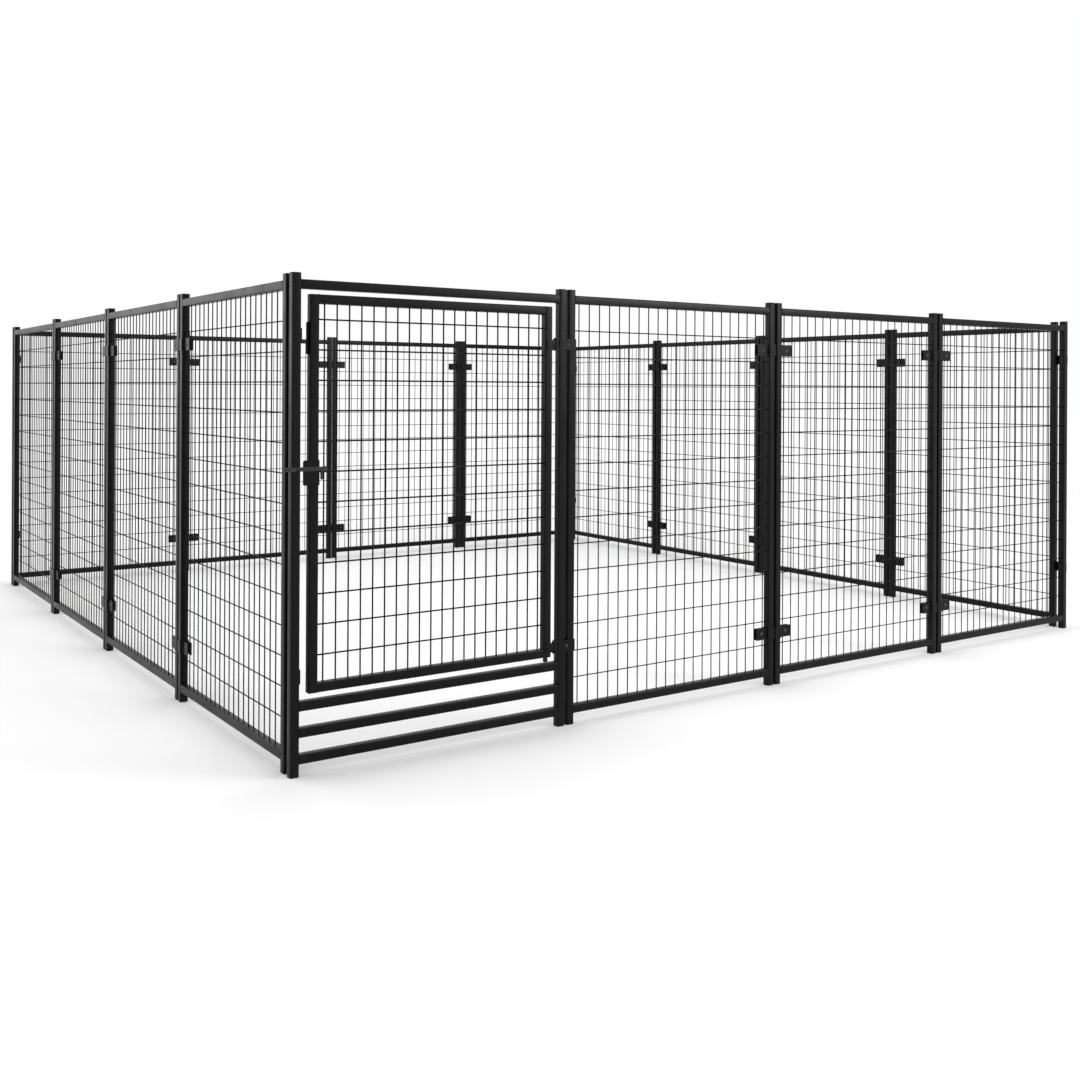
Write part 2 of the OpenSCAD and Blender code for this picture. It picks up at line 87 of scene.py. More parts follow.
WIRE_R = 2.5 * MM
LEAF_WIRE_R = 3 * MM
WIRE_GAP = 0.05 * MM
UPRIGHTS = 21
CROSSES = 14
LEAF_UPRIGHTS = 20
LEAF_CROSSES = 12
LEAF_CROSS_PITCH = 112 * MM

CLAMP_H = 55 * MM
PLATE = 3 * MM
BEND_R = 4 * MM
WING_CLEAR = 1.5 * MM
WING_EDGE = 33 * MM
WING_CORNER = 3 * MM
GROOVE_DEPTH = 6 * MM
GROOVE_BEND_R = 2.4 * MM
BOLT_WIRE_GAP = 4.6 * MM
BOLT_R = 4 * MM
HEAD_R = 9 * MM
HEAD_H = 4 * MM
NUT_W = 15 * MM
NUT_H = 6.5 * MM
BOLT_TAIL = 3 * MM
STRAP_TH = 4 * MM
STRAP_INSET = 3 * MM
STRAP_CORNER = 6 * MM
SCREW_REACH = 16 * MM

LEAF_SIDE_GAP = 36 * MM
LEAF_TOP_GAP = 17 * MM
LEAF_LOW_GAP = 25 * MM
LOW_RAIL_PITCH = 96 * MM
LOW_RAILS = 3
PEG_R = 10 * MM
PEG_GAP = 5 * MM

HINGE_H = 48 * MM
BAND_CORNER = 3 * MM
LEAF_BAND_CORNER = 4 * MM
LUG_R = 9 * MM
LUG_TH = 5 * MM
LUG_GAP = 0.5 * MM
BARREL_R = 8 * MM
PIN_R = 5 * MM
PIN_GAP = 0.05 * MM
PIN_HEAD_R = LUG_R - 1 * MM
PIN_HEAD_H = 3 * MM
PIN_TIP_EASE = 1 * MM
HINGE_BOLT_R = 3 * MM
HINGE_HEAD_R = 6.5 * MM
HINGE_HEAD_H = 3 * MM
HINGE_NUT_W = 11.5 * MM
HINGE_NUT_H = 5 * MM

BRACKET_H = 92 * MM
BRACKET_EAR = 28 * MM
BRACKET_DROP = 14 * MM
BRACKET_CORNER = 5 * MM
EAR_R = 7 * MM
ARM_TH = 6 * MM
ARM_H = 16 * MM
ARM_PAST = 36 * MM
ARM_TAIL = 47 * MM
KNOB_R = 10 * MM
TAB_W = 9 * MM
TAB_DROP = 40 * MM
STUD_R = 3.5 * MM
STUD_TIP_EASE = 0.8 * MM
FLANGE_R = 8 * MM
FLANGE_TH = 2 * MM
FLANGE_EASE = 0.6 * MM
NOTCH_CLEAR = 1 * MM
SLIDE_GAP = 0.3 * MM
PIVOT_R = 4 * MM
PIVOT_HEAD_R = 6.5 * MM
STOP_L = 119 * MM
STOP_REACH = 10 * MM
STOP_TH = 6 * MM

# Finish details: softened edges, threads, weld beads and nuggets
PLATE_EASE = 0.5 * MM
STRAP_EASE = 0.6 * MM
LEAF_BAND_EASE = 0.4 * MM
BARREL_EASE = 0.6 * MM
CAP_EASE = 1.1 * MM
NUT_EASE = 0.6 * MM
ARM_EASE = 2 * MM
STOP_EASE = 0.9 * MM
HEAD_RIM = 0.12
THREAD_PITCH = 1.25 * MM
THREAD_ROOT = 0.88
THREAD_STOP = 0.6 * MM
THREAD_SPARE = 2 * MM
TIP_EASE = 0.5 * MM
WASHER_FACE = 0.5 * MM
WASHER_LIFT = 0.4 * MM
WASHER_SHARE = 0.42
BEAD_R = 1.7 * MM
BEAD_RIPPLE = 1.9 * MM
SEAM_INSET = 0.9 * MM
SEAM_SHIFT = 0.4 * MM
NUGGET_SHARE = 0.65
END_WELD_SHARE = 1.25

# Places that follow from them
TOP_RAIL_Z = PANEL_H - POST_RISE - TUBE
MESH_Z = RAIL_LIFT + TUBE
CLEAR_W = PANEL_W - 2 * TUBE
CLEAR_H = TOP_RAIL_Z - MESH_Z
CROSS_STEP = CLEAR_H / (CROSSES + 1)
LEAF_X = TUBE + LEAF_SIDE_GAP
LEAF_W = PANEL_W - 2 * LEAF_X
LEAF_Z = RAIL_LIFT + (LOW_RAILS - 1) * LOW_RAIL_PITCH + TUBE + LEAF_LOW_GAP
LEAF_H = TOP_RAIL_Z - LEAF_TOP_GAP - LEAF_Z
HALF_PAIR = TUBE + JOINT_GAP / 2
FLANK_X = HALF_PAIR + SEAT + PLATE / 2
FACE_Y = -SEAT - PLATE / 2
GROOVE_X = JOINT_GAP / 2 - SEAT - PLATE / 2
GROOVE_Y = FACE_Y + GROOVE_DEPTH
WING_Y = TUBE / 2 - 2 * WIRE_R - WIRE_GAP / 2 - WING_CLEAR - PLATE / 2
BOLT_X = HALF_PAIR + CLEAR_W / UPRIGHTS / 2 + WIRE_R + BOLT_WIRE_GAP + BOLT_R
WING_END = BOLT_X + WING_EDGE
HINGE_X = PANEL_W - TUBE - LEAF_SIDE_GAP / 2
HINGE_Y = -SEAT - PLATE + LUG_R
PAIR_X = PANEL_W + JOINT_GAP / 2
BARREL_H = HINGE_H - 2 * (LUG_TH + LUG_GAP)
PIVOT_X = LEAF_X + TUBE / 2
ARM_Y = -SEAT - PLATE - SLIDE_GAP - ARM_TH / 2
clamp_low, clamp_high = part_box("clamp_outer_halves")
CLAMP_ZS = (clamp_low.z + CLAMP_H / 2, clamp_high.z - CLAMP_H / 2)
strap_low, strap_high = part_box("corner_straps")
STRAP_ZS = (strap_low.z + CLAMP_H / 2, strap_high.z - CLAMP_H / 2)
band_low, band_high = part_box("hinge_back_bands")
HINGE_ZS = (band_low.z + HINGE_H / 2, band_high.z - HINGE_H / 2)
LATCH_Z = (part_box("latch_bracket")[0].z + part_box("latch_bracket")[1].z) / 2 + BRACKET_DROP
STOP_Z = (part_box("stop_lug")[0].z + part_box("stop_lug")[1].z) / 2

SIDES = ("front", "right", "rear", "left")
PANELS = [(k, i) for k in range(len(SIDES)) for i in range(SIDE_PANELS)]
GATE_PANEL, HINGE_JOINT = (0, 0), (0, 1)
PLAIN_PANELS = [panel for panel in PANELS if panel != GATE_PANEL]
JOINTS = [(k, i) for k, i in PANELS if i > 0 and (k, i) != HINGE_JOINT]


def shift(x=0, y=0, z=0):
    return Matrix.Translation((x, y, z))


def panel_place(panel):
    """Matrix from a panel's own axes, x along it and y inward from its outer face, to the run's."""
    side, number = panel
    reach = (RUN_DEPTH if side % 2 == 0 else SIDE_LEN) / 2
    return (shift(RUN_MID.x, RUN_MID.y)
            @ Matrix.Rotation(side * math.pi / 2, 4, "Z")
            @ shift(number * PITCH - SIDE_LEN / 2, -reach))


def panel_name(panel):
    return f"{SIDES[panel[0]]}_panel_{panel[1] + 1}"


GATE = panel_place(GATE_PANEL)

# Materials

# The mix node's sockets for colours
MIX_BASE, MIX_TOP, MIX_RESULT = 6, 7, 2


class Finish:
    """A material under construction: its principled shader and the nodes that feed it."""

    def __init__(self, name):
        self.material = bpy.data.materials.new(name)
        self.material.use_nodes = True
        self.nodes = self.material.node_tree.nodes
        self.links = self.material.node_tree.links
        self.shader = self.nodes["Principled BSDF"]
        self.place = self.node("ShaderNodeTexCoord").outputs["Object"]

    def node(self, kind, **settings):
        made = self.nodes.new(kind)
        for key, value in settings.items():
            setattr(made, key, value)
        return made

    def join(self, source, target):
        self.links.new(source, target)

    def set(self, **sockets):
        for name, value in sockets.items():
            self.shader.inputs[name.replace("_", " ")].default_value = value

    def feed(self, socket, source):
        """Drives one of the shader's sockets."""
        self.join(source, self.shader.inputs[socket])

    def noise(self, scale, detail=2.0, rough=0.5):
        made = self.node("ShaderNodeTexNoise")
        made.inputs["Scale"].default_value = scale
        made.inputs["Detail"].default_value = detail
        made.inputs["Roughness"].default_value = rough
        self.join(self.place, made.inputs["Vector"])
        return made.outputs["Fac"]

    def remap(self, source, span, result):
        """Maps one span of values onto another, each given as its low and high end."""
        made = self.node("ShaderNodeMapRange")
        ends = ("From Min", "From Max", "To Min", "To Max")
        for name, value in zip(ends, (*span, *result)):
            made.inputs[name].default_value = value
        self.join(source, made.inputs["Value"])
        return made.outputs["Result"]

    def maths(self, operation, a, b):
        made = self.node("ShaderNodeMath", operation=operation)
        self.join(a, made.inputs[0])
        self.join(b, made.inputs[1])
        return made.outputs["Value"]

    def mix(self, factor, base, top):
        made = self.node("ShaderNodeMix", data_type="RGBA")
        self.join(factor, made.inputs["Factor"])
        made.inputs[MIX_BASE].default_value = (*base, 1)
        made.inputs[MIX_TOP].default_value = (*top, 1)
        return made.outputs[MIX_RESULT]

    def bump(self, height, strength, distance):
        made = self.node("ShaderNodeBump")
        made.inputs["Strength"].default_value = strength
        made.inputs["Distance"].default_value = distance
        self.join(height, made.inputs["Height"])
        self.feed("Normal", made.outputs["Normal"])

    def upright_part(self, vector):
        split = self.node("ShaderNodeSeparateXYZ")
        self.join(vector, split.inputs[0])
        return split.outputs["Z"]

    def height_above_ground(self):
        return self.upright_part(self.place)

    def upward(self):
        """How far a face looks up, from 0 to 1."""
        normal = self.node("ShaderNodeNewGeometry").outputs["Normal"]
        return self.remap(self.upright_part(normal), (0.2, 1.0), (0.0, 1.0))


def powder_coat(name, colour, dusty, rough, grain, bump, specular):
    """Black powder coat: fine orange peel, cloudy gloss, dust on top faces and near the ground."""
    coat = Finish(name)
    coat.set(Specular_IOR_Level=specular)
    clouds = coat.noise(scale=7.0, detail=4.0)
    speckle = coat.noise(scale=45.0, detail=5.0, rough=0.65)
    dust_spots = coat.remap(speckle, (0.45, 0.75), (0.0, 1.0))
    on_top = coat.remap(coat.upward(), (0.0, 1.0), (0.0, 0.55))
    splash = coat.remap(coat.height_above_ground(), (0.0, 0.16), (0.45, 0.0))
    dust = coat.maths("MULTIPLY", dust_spots, coat.maths("MAXIMUM", on_top, splash))
    coat.feed("Base Color", coat.mix(dust, colour, dusty))
    coat.feed("Roughness", coat.remap(clouds, (0.3, 0.7), (rough - 0.05, rough + 0.08)))
    coat.bump(coat.noise(scale=grain, detail=3.0, rough=0.6), strength=bump, distance=0.3 * MM)
    return coat.material


def blackened_steel():
    """Dark fastener steel with a fine grain and rubbed bright spots."""
    steel = Finish("blackened_steel")
    steel.set(Metallic=0.85, Specular_IOR_Level=0.4)
    rubbed = steel.remap(steel.noise(scale=160.0, detail=4.0, rough=0.6), (0.52, 0.72), (0.0, 0.6))
    steel.feed("Base Color", steel.mix(rubbed, (0.035, 0.035, 0.037), (0.16, 0.16, 0.165)))
    gloss = steel.noise(scale=90.0, detail=3.0)
    steel.feed("Roughness", steel.remap(gloss, (0.3, 0.7), (0.2, 0.36)))
    steel.bump(steel.noise(scale=900.0, detail=2.0), strength=0.12, distance=0.2 * MM)
    return steel.material


def moulded_plastic():
    """Black end caps and feet with a fine pebbled mould texture."""
    plastic = Finish("moulded_plastic")
    plastic.set(Specular_IOR_Level=0.3)
    cells = plastic.node("ShaderNodeTexVoronoi")
    cells.inputs["Scale"].default_value = 900.0
    plastic.join(plastic.place, cells.inputs["Vector"])
    worn = plastic.remap(plastic.noise(scale=60.0, detail=4.0), (0.5, 0.75), (0.0, 0.5))
    plastic.feed("Base Color", plastic.mix(worn, (0.008, 0.008, 0.008), (0.03, 0.03, 0.029)))
    plastic.feed("Roughness", plastic.remap(plastic.noise(scale=30.0), (0.3, 0.7), (0.5, 0.66)))
    plastic.bump(cells.outputs["Distance"], strength=0.2, distance=0.2 * MM)
    return plastic.material


def pale_floor():
    """Plain matt studio floor, a little paler far from the run. The paleness is painted light: the
    floor's colour is darker near the run, where the softboxes light it most, and paler where their
    light falls off, so the floor renders evenly white.
    """
    floor = Finish("pale_floor")
    floor.set(Specular_IOR_Level=0.1, Roughness=0.9)
    away = floor.node("ShaderNodeVectorMath", operation="LENGTH")
    floor.join(floor.place, away.inputs[0])
    # Painted light: the colour pales with distance from the run to make up for the softboxes' light
    # falling off
    softbox_falloff_fill = floor.remap(away.outputs["Value"], (4.0, 16.0), (0.0, 1.0))
    floor.feed("Base Color", floor.mix(softbox_falloff_fill, (0.71, 0.71, 0.71), (0.9, 0.9, 0.9)))
    return floor.material


COAT_BLACK = (0.003, 0.003, 0.0032)
# Painted light: the arm's black is lighter than the coat black, so the lift arm, its pivot bolt and
# the latch stud read as lit
ARM_PAINTED_LIGHT_BLACK = (0.004, 0.004, 0.0042)
TUBE_DUST = (0.03, 0.029, 0.028)
WIRE_DUST = (0.02, 0.02, 0.019)
PLATE_DUST = (0.025, 0.024, 0.023)
TUBE_COAT = powder_coat("satin_tube_coat", COAT_BLACK, TUBE_DUST,
                        rough=0.31, grain=620.0, bump=0.22, specular=0.11)
WIRE_COAT = powder_coat("satin_wire_coat", COAT_BLACK, WIRE_DUST,
                        rough=0.42, grain=850.0, bump=0.18, specular=0.08)
# The arm's coat: the painted lighter black, with a higher specular level
ARM_COAT = powder_coat("arm_coat_painted_lighter", ARM_PAINTED_LIGHT_BLACK, PLATE_DUST,
                       rough=0.36, grain=520.0, bump=0.2, specular=0.44)
PLATE_COAT = powder_coat("pressed_plate_coat", COAT_BLACK, PLATE_DUST,
                         rough=0.31, grain=520.0, bump=0.26, specular=0.11)
STEEL = blackened_steel()
PLASTIC = moulded_plastic()

# Geometry Nodes

TUBE_CORNER_STEPS = 6
WIRE_SIDES = 10
CROSSING_SQUASH = (1.0, 1.25, 1.0)
UPRIGHT_END_SQUASH = (1.15, 1.15, 0.7)
CROSS_END_SQUASH = (0.7, 1.15, 1.15)
RIPPLE_LEAST, RIPPLE_MOST, RIPPLE_SEED = 0.85, 1.12, 7
# The random value node's sockets for plain numbers
RANDOM_LEAST, RANDOM_MOST, RANDOM_RESULT = 2, 3, 1


class Tree:
    """A geometry node tree with named inputs, ending in realised instances and one material."""

    def __init__(self, name, inputs):
        self.group = bpy.data.node_groups.new(name, "GeometryNodeTree")
        self.face = self.group.interface
        self.face.new_socket("Geometry", in_out="INPUT", socket_type="NodeSocketGeometry")
        self.ids = {label: self.input(label, kind) for label, kind in inputs}
        self.ids["Coat"] = self.input("Coat", "NodeSocketMaterial")
        self.face.new_socket("Geometry", in_out="OUTPUT", socket_type="NodeSocketGeometry")
        self.start = self.group.nodes.new("NodeGroupInput").outputs

    def input(self, label, kind):
        return self.face.new_socket(label, in_out="INPUT", socket_type=kind).identifier

    def node(self, kind, links=(), values=(), **settings):
        made = self.group.nodes.new(kind)
        for key, value in settings.items():
            setattr(made, key, value)
        for socket, source in dict(links).items():
            self.group.links.new(source, made.inputs[socket])
        for socket, value in dict(values).items():
            made.inputs[socket].default_value = value
        return made

    def end(self, *geometry):
        join = self.group.nodes.new("GeometryNodeJoinGeometry")
        for source in geometry:
            self.group.links.new(source, join.inputs["Geometry"])
        solid = self.node("GeometryNodeRealizeInstances", {"Geometry": join.outputs["Geometry"]})
        coated = self.node("GeometryNodeSetMaterial",
                           {"Geometry": solid.outputs["Geometry"], "Material": self.start["Coat"]})
        out = self.group.nodes.new("NodeGroupOutput")
        self.group.links.new(coated.outputs["Geometry"], out.inputs["Geometry"])
        return self

    def grow(self, base, **values):
        """The finished plain mesh that this tree makes from a base mesh."""
        holder = bpy.data.objects.new("growing", base)
        bpy.context.scene.collection.objects.link(holder)
        modifier = holder.modifiers.new("grow", "NODES")
        modifier.node_group = self.group
        for label, value in values.items():
            modifier[self.ids[label.replace("_", " ")]] = value
        return finished_mesh(holder)


def finished_mesh(holder):
    """The plain mesh of an object with its modifiers applied. The object itself is removed."""
    view = bpy.context.evaluated_depsgraph_get()
    mesh = bpy.data.meshes.new_from_object(holder.evaluated_get(view))
    bpy.data.objects.remove(holder)
    return mesh


def square_tube_tree():
    """Each edge of the base becomes a length of round-cornered square tube."""
    tree = Tree("square_tube", [("Side", "NodeSocketFloat"), ("Corner radius", "NodeSocketFloat")])
    line = tree.node("GeometryNodeMeshToCurve", {"Mesh": tree.start["Geometry"]})
    square = tree.node("GeometryNodeCurvePrimitiveQuadrilateral",
                       {"Width": tree.start["Side"], "Height": tree.start["Side"]},
                       mode="RECTANGLE")
    rounded = tree.node("GeometryNodeFilletCurve",
                        {"Curve": square.outputs["Curve"], "Radius": tree.start["Corner radius"]},
                        {"Count": TUBE_CORNER_STEPS}, mode="POLY")
    tube = tree.node("GeometryNodeCurveToMesh",
                     {"Curve": line.outputs["Curve"], "Profile Curve": rounded.outputs["Curve"]},
                     {"Fill Caps": True})
    return tree.end(tube.outputs["Mesh"])


def welded_wire_tree():
    """Upright and cross wires in an opening, with a nugget at each crossing and each wire end."""
    vector, number, size = "NodeSocketVector", "NodeSocketInt", "NodeSocketFloat"
    tree = Tree("welded_wires", [
        ("Uprights", number), ("First upright", vector), ("Upright step", vector),
        ("Upright length", size), ("Upright ends", vector), ("Crosses", number),
        ("First cross", vector), ("Cross step", vector), ("Cross length", size),
        ("Cross ends", vector), ("First crossing", vector), ("Wire radius", size),
        ("Nugget radius", size), ("End weld radius", size)])
    start = tree.start

    def row(count, first, step):
        links = {"Count": count, "Start Location": first, "Offset": step}
        return tree.node("GeometryNodeMeshLine", links).outputs["Mesh"]

    def copies(points, instance):
        links = {"Points": points, "Instance": instance}
        return tree.node("GeometryNodeInstanceOnPoints", links)

    def wire(length):
        links = {"Radius": start["Wire radius"], "Depth": length}
        made = tree.node("GeometryNodeMeshCylinder", links, {"Vertices": WIRE_SIDES})
        return made.outputs["Mesh"]

    def nugget(radius):
        made = tree.node("GeometryNodeMeshIcoSphere", {"Radius": radius}, {"Subdivisions": 1})
        return made.outputs["Mesh"]

    def spread(points, pattern):
        """One copy of a pattern's points at each point."""
        placed = copies(points, pattern).outputs["Instances"]
        return tree.node("GeometryNodeRealizeInstances", {"Geometry": placed}).outputs["Geometry"]

    def pair(apart):
        return tree.node("GeometryNodeMeshLine", {"Offset": apart}, {"Count": 2}).outputs["Mesh"]

    def half_of(ends):
        made = tree.node("ShaderNodeVectorMath", {0: ends}, {"Scale": 0.5}, operation="SCALE")
        return made.outputs["Vector"]

    def moved(points, offset):
        links = {"Geometry": points, "Offset": offset}
        return tree.node("GeometryNodeSetPosition", links).outputs["Geometry"]

    upright_row = row(start["Uprights"], start["First upright"], start["Upright step"])
    cross_row = row(start["Crosses"], start["First cross"], start["Cross step"])
    upright_mid = moved(upright_row, half_of(start["Upright ends"]))
    cross_mid = moved(cross_row, half_of(start["Cross ends"]))
    uprights = copies(upright_mid, wire(start["Upright length"]))
    crosses = copies(cross_mid, wire(start["Cross length"]))
    crosses.inputs["Rotation"].default_value = (0, math.pi / 2, 0)
    column = row(start["Crosses"], start["First crossing"], start["Cross step"])
    crossings = copies(spread(upright_row, column), nugget(start["Nugget radius"]))
    crossings.inputs["Scale"].default_value = CROSSING_SQUASH
    upright_ends = copies(spread(upright_row, pair(start["Upright ends"])),
                          nugget(start["End weld radius"]))
    upright_ends.inputs["Scale"].default_value = UPRIGHT_END_SQUASH
    cross_ends = copies(spread(cross_row, pair(start["Cross ends"])),
                        nugget(start["End weld radius"]))
    cross_ends.inputs["Scale"].default_value = CROSS_END_SQUASH
    made = (uprights, crosses, crossings, upright_ends, cross_ends)
    return tree.end(*[m.outputs["Instances"] for m in made])


def weld_bead_tree():
    """Each edge of the base becomes a rippled weld bead."""
    tree = Tree("weld_beads", [("Bead radius", "NodeSocketFloat"), ("Ripple", "NodeSocketFloat")])
    line = tree.node("GeometryNodeMeshToCurve", {"Mesh": tree.start["Geometry"]})
    steps = tree.node("GeometryNodeResampleCurve",
                      {"Curve": line.outputs["Curve"], "Length": tree.start["Ripple"]},
                      mode="LENGTH")
    tangent = tree.node("GeometryNodeInputTangent").outputs["Tangent"]
    along = tree.node("FunctionNodeAlignRotationToVector", {"Vector": tangent}, axis="Z")
    ripple = tree.node("GeometryNodeMeshIcoSphere", {"Radius": tree.start["Bead radius"]},
                       {"Subdivisions": 1})
    ripple_sizes = {RANDOM_LEAST: RIPPLE_LEAST, RANDOM_MOST: RIPPLE_MOST, "Seed": RIPPLE_SEED}
    uneven = tree.node("FunctionNodeRandomValue", values=ripple_sizes, data_type="FLOAT")
    placed = tree.node("GeometryNodeInstanceOnPoints",
                       {"Points": steps.outputs["Curve"], "Instance": ripple.outputs["Mesh"],
                        "Rotation": along.outputs["Rotation"],
                        "Scale": uneven.outputs[RANDOM_RESULT]})
    return tree.end(placed.outputs["Instances"])


def set_out_tree():
    """A copy of one made piece at each point of the base, turned as the point's own turn says."""
    tree = Tree("set_out", [("Piece", "NodeSocketObject")])
    shape = tree.node("GeometryNodeObjectInfo", {"Object": tree.start["Piece"]},
                      transform_space="ORIGINAL")
    turn = tree.node("GeometryNodeInputNamedAttribute", values={"Name": "turn"},
                     data_type="FLOAT_VECTOR")
    turned = tree.node("FunctionNodeEulerToRotation", {"Euler": turn.outputs["Attribute"]})
    placed = tree.node("GeometryNodeInstanceOnPoints",
                       {"Points": tree.start["Geometry"], "Instance": shape.outputs["Geometry"],
                        "Rotation": turned.outputs["Rotation"]})
    return tree.end(placed.outputs["Instances"])


SQUARE_TUBE = square_tube_tree()
WELDED_WIRES = welded_wire_tree()
WELD_BEADS = weld_bead_tree()
SET_OUT = set_out_tree()

# Mesh helpers

# Angles past which shading breaks or an edge is softened, in degrees
SHADE_ANGLE = 38
TUBE_SHADE_ANGLE = 30
WIRE_SHADE_ANGLE = 40
BEAD_SHADE_ANGLE = 60
SOFTEN_ANGLE = 40
# Faces round a curve
CORNER_STEPS = 5
BEND_STEPS = 5
END_STEPS = 6
DOME_STEPS = 6
TURN_STEPS = 24
# Loops of edges beside bends and rims, which keep flat plate looking flat
FLAT_HOLD = 0.4 * MM
EDGE_HOLD = 1.2 * MM


def lines_mesh(lines):
    """Base mesh of separate edges."""
    mesh = bpy.data.meshes.new("lines")
    points = [p for line in lines for p in line]
    mesh.from_pydata(points, [(i, i + 1) for i in range(0, len(points), 2)], [])
    return mesh


def places_mesh(places):
    """Base mesh of points, each with its turn, from placing matrices."""
    mesh = bpy.data.meshes.new("places")
    mesh.from_pydata([m.translation for m in places], [], [])
    turn = mesh.attributes.new("turn", "FLOAT_VECTOR", "POINT")
    for value, place in zip(turn.data, places):
        value.vector = place.to_euler()
    return mesh


def smooth(mesh, angle=SHADE_ANGLE):
    mesh.shade_smooth()
    mesh.set_sharp_from_angle(angle=math.radians(angle))
    return mesh


def arc(x, y, r, start, stop, steps=6):
    """Points on an arc, angles in degrees."""
    angles = [math.radians(start + (stop - start) * i / steps) for i in range(steps + 1)]
    return [(x + r * math.cos(a), y + r * math.sin(a)) for a in angles]


def rounded_box(x0, y0, x1, y1, r):
    """Outline of a rectangle with round corners, anticlockwise."""
    centres = ((x1 - r, y0 + r), (x1 - r, y1 - r), (x0 + r, y1 - r), (x0 + r, y0 + r))
    starts = (-90, 0, 90, 180)
    return [point for (x, y), start in zip(centres, starts)
            for point in arc(x, y, r, start, start + 90, CORNER_STEPS)]


def slab(bm, outline, low, high, place=Matrix()):
    """Flat plate: an outline in x and y, from z low to z high."""
    bottom = [bm.verts.new(place @ Vector((x, y, low))) for x, y in outline]
    top = [bm.verts.new(place @ Vector((x, y, high))) for x, y in outline]
    bm.faces.new(top)
    bm.faces.new(list(reversed(bottom)))
    for i in range(len(outline)):
        j = (i + 1) % len(outline)
        bm.faces.new((bottom[i], bottom[j], top[j], top[i]))


def lathe(bm, profile, place=Matrix()):
    """Turned piece about z. A profile that starts on the axis closes there; any other is a loop."""
    rings = []
    turns = [2 * math.pi * i / TURN_STEPS for i in range(TURN_STEPS)]
    for r, z in profile:
        points = [(r * math.cos(a), r * math.sin(a), z) for a in turns] if r else [(0, 0, z)]
        rings.append([bm.verts.new(place @ Vector(p)) for p in points])
    closed = profile[0][0] > 0
    pairs = list(zip(rings, rings[1:])) + ([(rings[-1], rings[0])] if closed else [])
    for low, high in pairs:
        for i in range(TURN_STEPS):
            j = (i + 1) % TURN_STEPS
            corners = [low[i % len(low)], low[j % len(low)],
                       high[j % len(high)], high[i % len(high)]]
            bm.faces.new(list(dict.fromkeys(corners)))


def bent_path(corners, radii):
    """A path in plan with each inner corner turned into a bend, held flat on both sides of it."""
    path = [Vector(corners[0])]
    for before, at, after, radius in zip(corners, corners[1:], corners[2:], radii):
        at = Vector(at)
        back = (Vector(before) - at).normalized()
        ahead = (Vector(after) - at).normalized()
        half = back.angle(ahead) / 2
        run = radius / math.tan(half)
        centre = at + (back + ahead).normalized() * radius / math.sin(half)
        first = at + back * run - centre
        last = at + ahead * run - centre
        sweep = first.angle_signed(last)
        path.append(at + back * (run + FLAT_HOLD))
        for i in range(BEND_STEPS + 1):
            turn = Matrix.Rotation(-sweep * i / BEND_STEPS, 2)
            path.append(centre + turn @ first)
        path.append(at + ahead * (run + FLAT_HOLD))
    path.append(Vector(corners[-1]))
    return path


def rounded_start(path, r):
    """A path with closer points along its first stretch, for a rounded end."""
    along = (path[1] - path[0]).normalized()
    turns = [math.pi / 2 * i / END_STEPS for i in range(END_STEPS + 1)]
    return [path[0] + along * r * (1 - math.cos(a)) for a in turns] + path[1:]


def bent_plate(bm, corners, height, end_radius, place=Matrix(), radii=None):
    """Plate bent along a path in plan, its near and far end rounded off by end_radius."""
    path = bent_path(corners, radii or [BEND_R] * len(corners))
    path = rounded_start(path, end_radius[0])
    path = rounded_start(path[::-1], end_radius[1])[::-1]
    rings = []
    for i, point in enumerate(path):
        ahead = path[min(i + 1, len(path) - 1)] - path[max(i - 1, 0)]
        out = Vector((ahead.y, -ahead.x)).normalized() * PLATE / 2
        half = height / 2
        for end, r in ((path[0], end_radius[0]), (path[-1], end_radius[1])):
            gap = (point - end).length
            if gap < r:
                half = height / 2 - r + math.sqrt(r * r - (r - gap) ** 2)
        near, softbox_falloff_fill = point + out, point - out
        levels = (-half, -half + EDGE_HOLD, half - EDGE_HOLD, half)
        ring = [(near.x, near.y, z) for z in levels]
        ring += [(softbox_falloff_fill.x, softbox_falloff_fill.y, z) for z in reversed(levels)]
        rings.append([bm.verts.new(place @ Vector(p)) for p in ring])
    sides = len(rings[0])
    for low, high in zip(rings, rings[1:]):
        for i in range(sides):
            j = (i + 1) % sides
            bm.faces.new((low[i], low[j], high[j], high[i]))
    bm.faces.new(list(reversed(rings[0])))
    bm.faces.new(rings[-1])


def made_mesh(bm, bevel=0.0, segments=2):
    """Closes a bmesh into a smooth-shaded mesh with its edges softened."""
    bmesh.ops.recalc_face_normals(bm, faces=bm.faces)
    mesh = bpy.data.meshes.new("made")
    bm.to_mesh(mesh)
    bm.free()
    if bevel:
        holder = bpy.data.objects.new("softening", mesh)
        bpy.context.scene.collection.objects.link(holder)
        soften = holder.modifiers.new("soften", "BEVEL")
        soften.width = bevel
        soften.segments = segments
        soften.limit_method = "ANGLE"
        soften.angle_limit = math.radians(SOFTEN_ANGLE)
        mesh = finished_mesh(holder)
    return smooth(mesh)


def add_piece(name, mesh, coat, body, slot, *nodes):
    """Puts a mesh in the scene: its coat, the body it rides on and the nodes it stands for."""
    mesh.materials.clear()
    mesh.materials.append(coat)
    made = bpy.data.objects.new(name, mesh)
    bpy.context.scene.collection.objects.link(made)
    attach(made, body)
    if nodes:
        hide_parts(*nodes)


def copies_mesh(mesh, places, coat):
    """One mesh of many copies of a made mesh."""
    shape = bpy.data.objects.new("shape", mesh)
    bpy.context.scene.collection.objects.link(shape)
    copies = SET_OUT.grow(places_mesh(places), Piece=shape, Coat=coat)
    bpy.data.objects.remove(shape)
    return smooth(copies)


def set_out(name, mesh, places, coat, body, slot, *nodes):
    """Copies of one made mesh at many places, as one piece."""
    add_piece(name, copies_mesh(mesh, places, coat), coat, body, slot, *nodes)


# Tubes, wires and welds


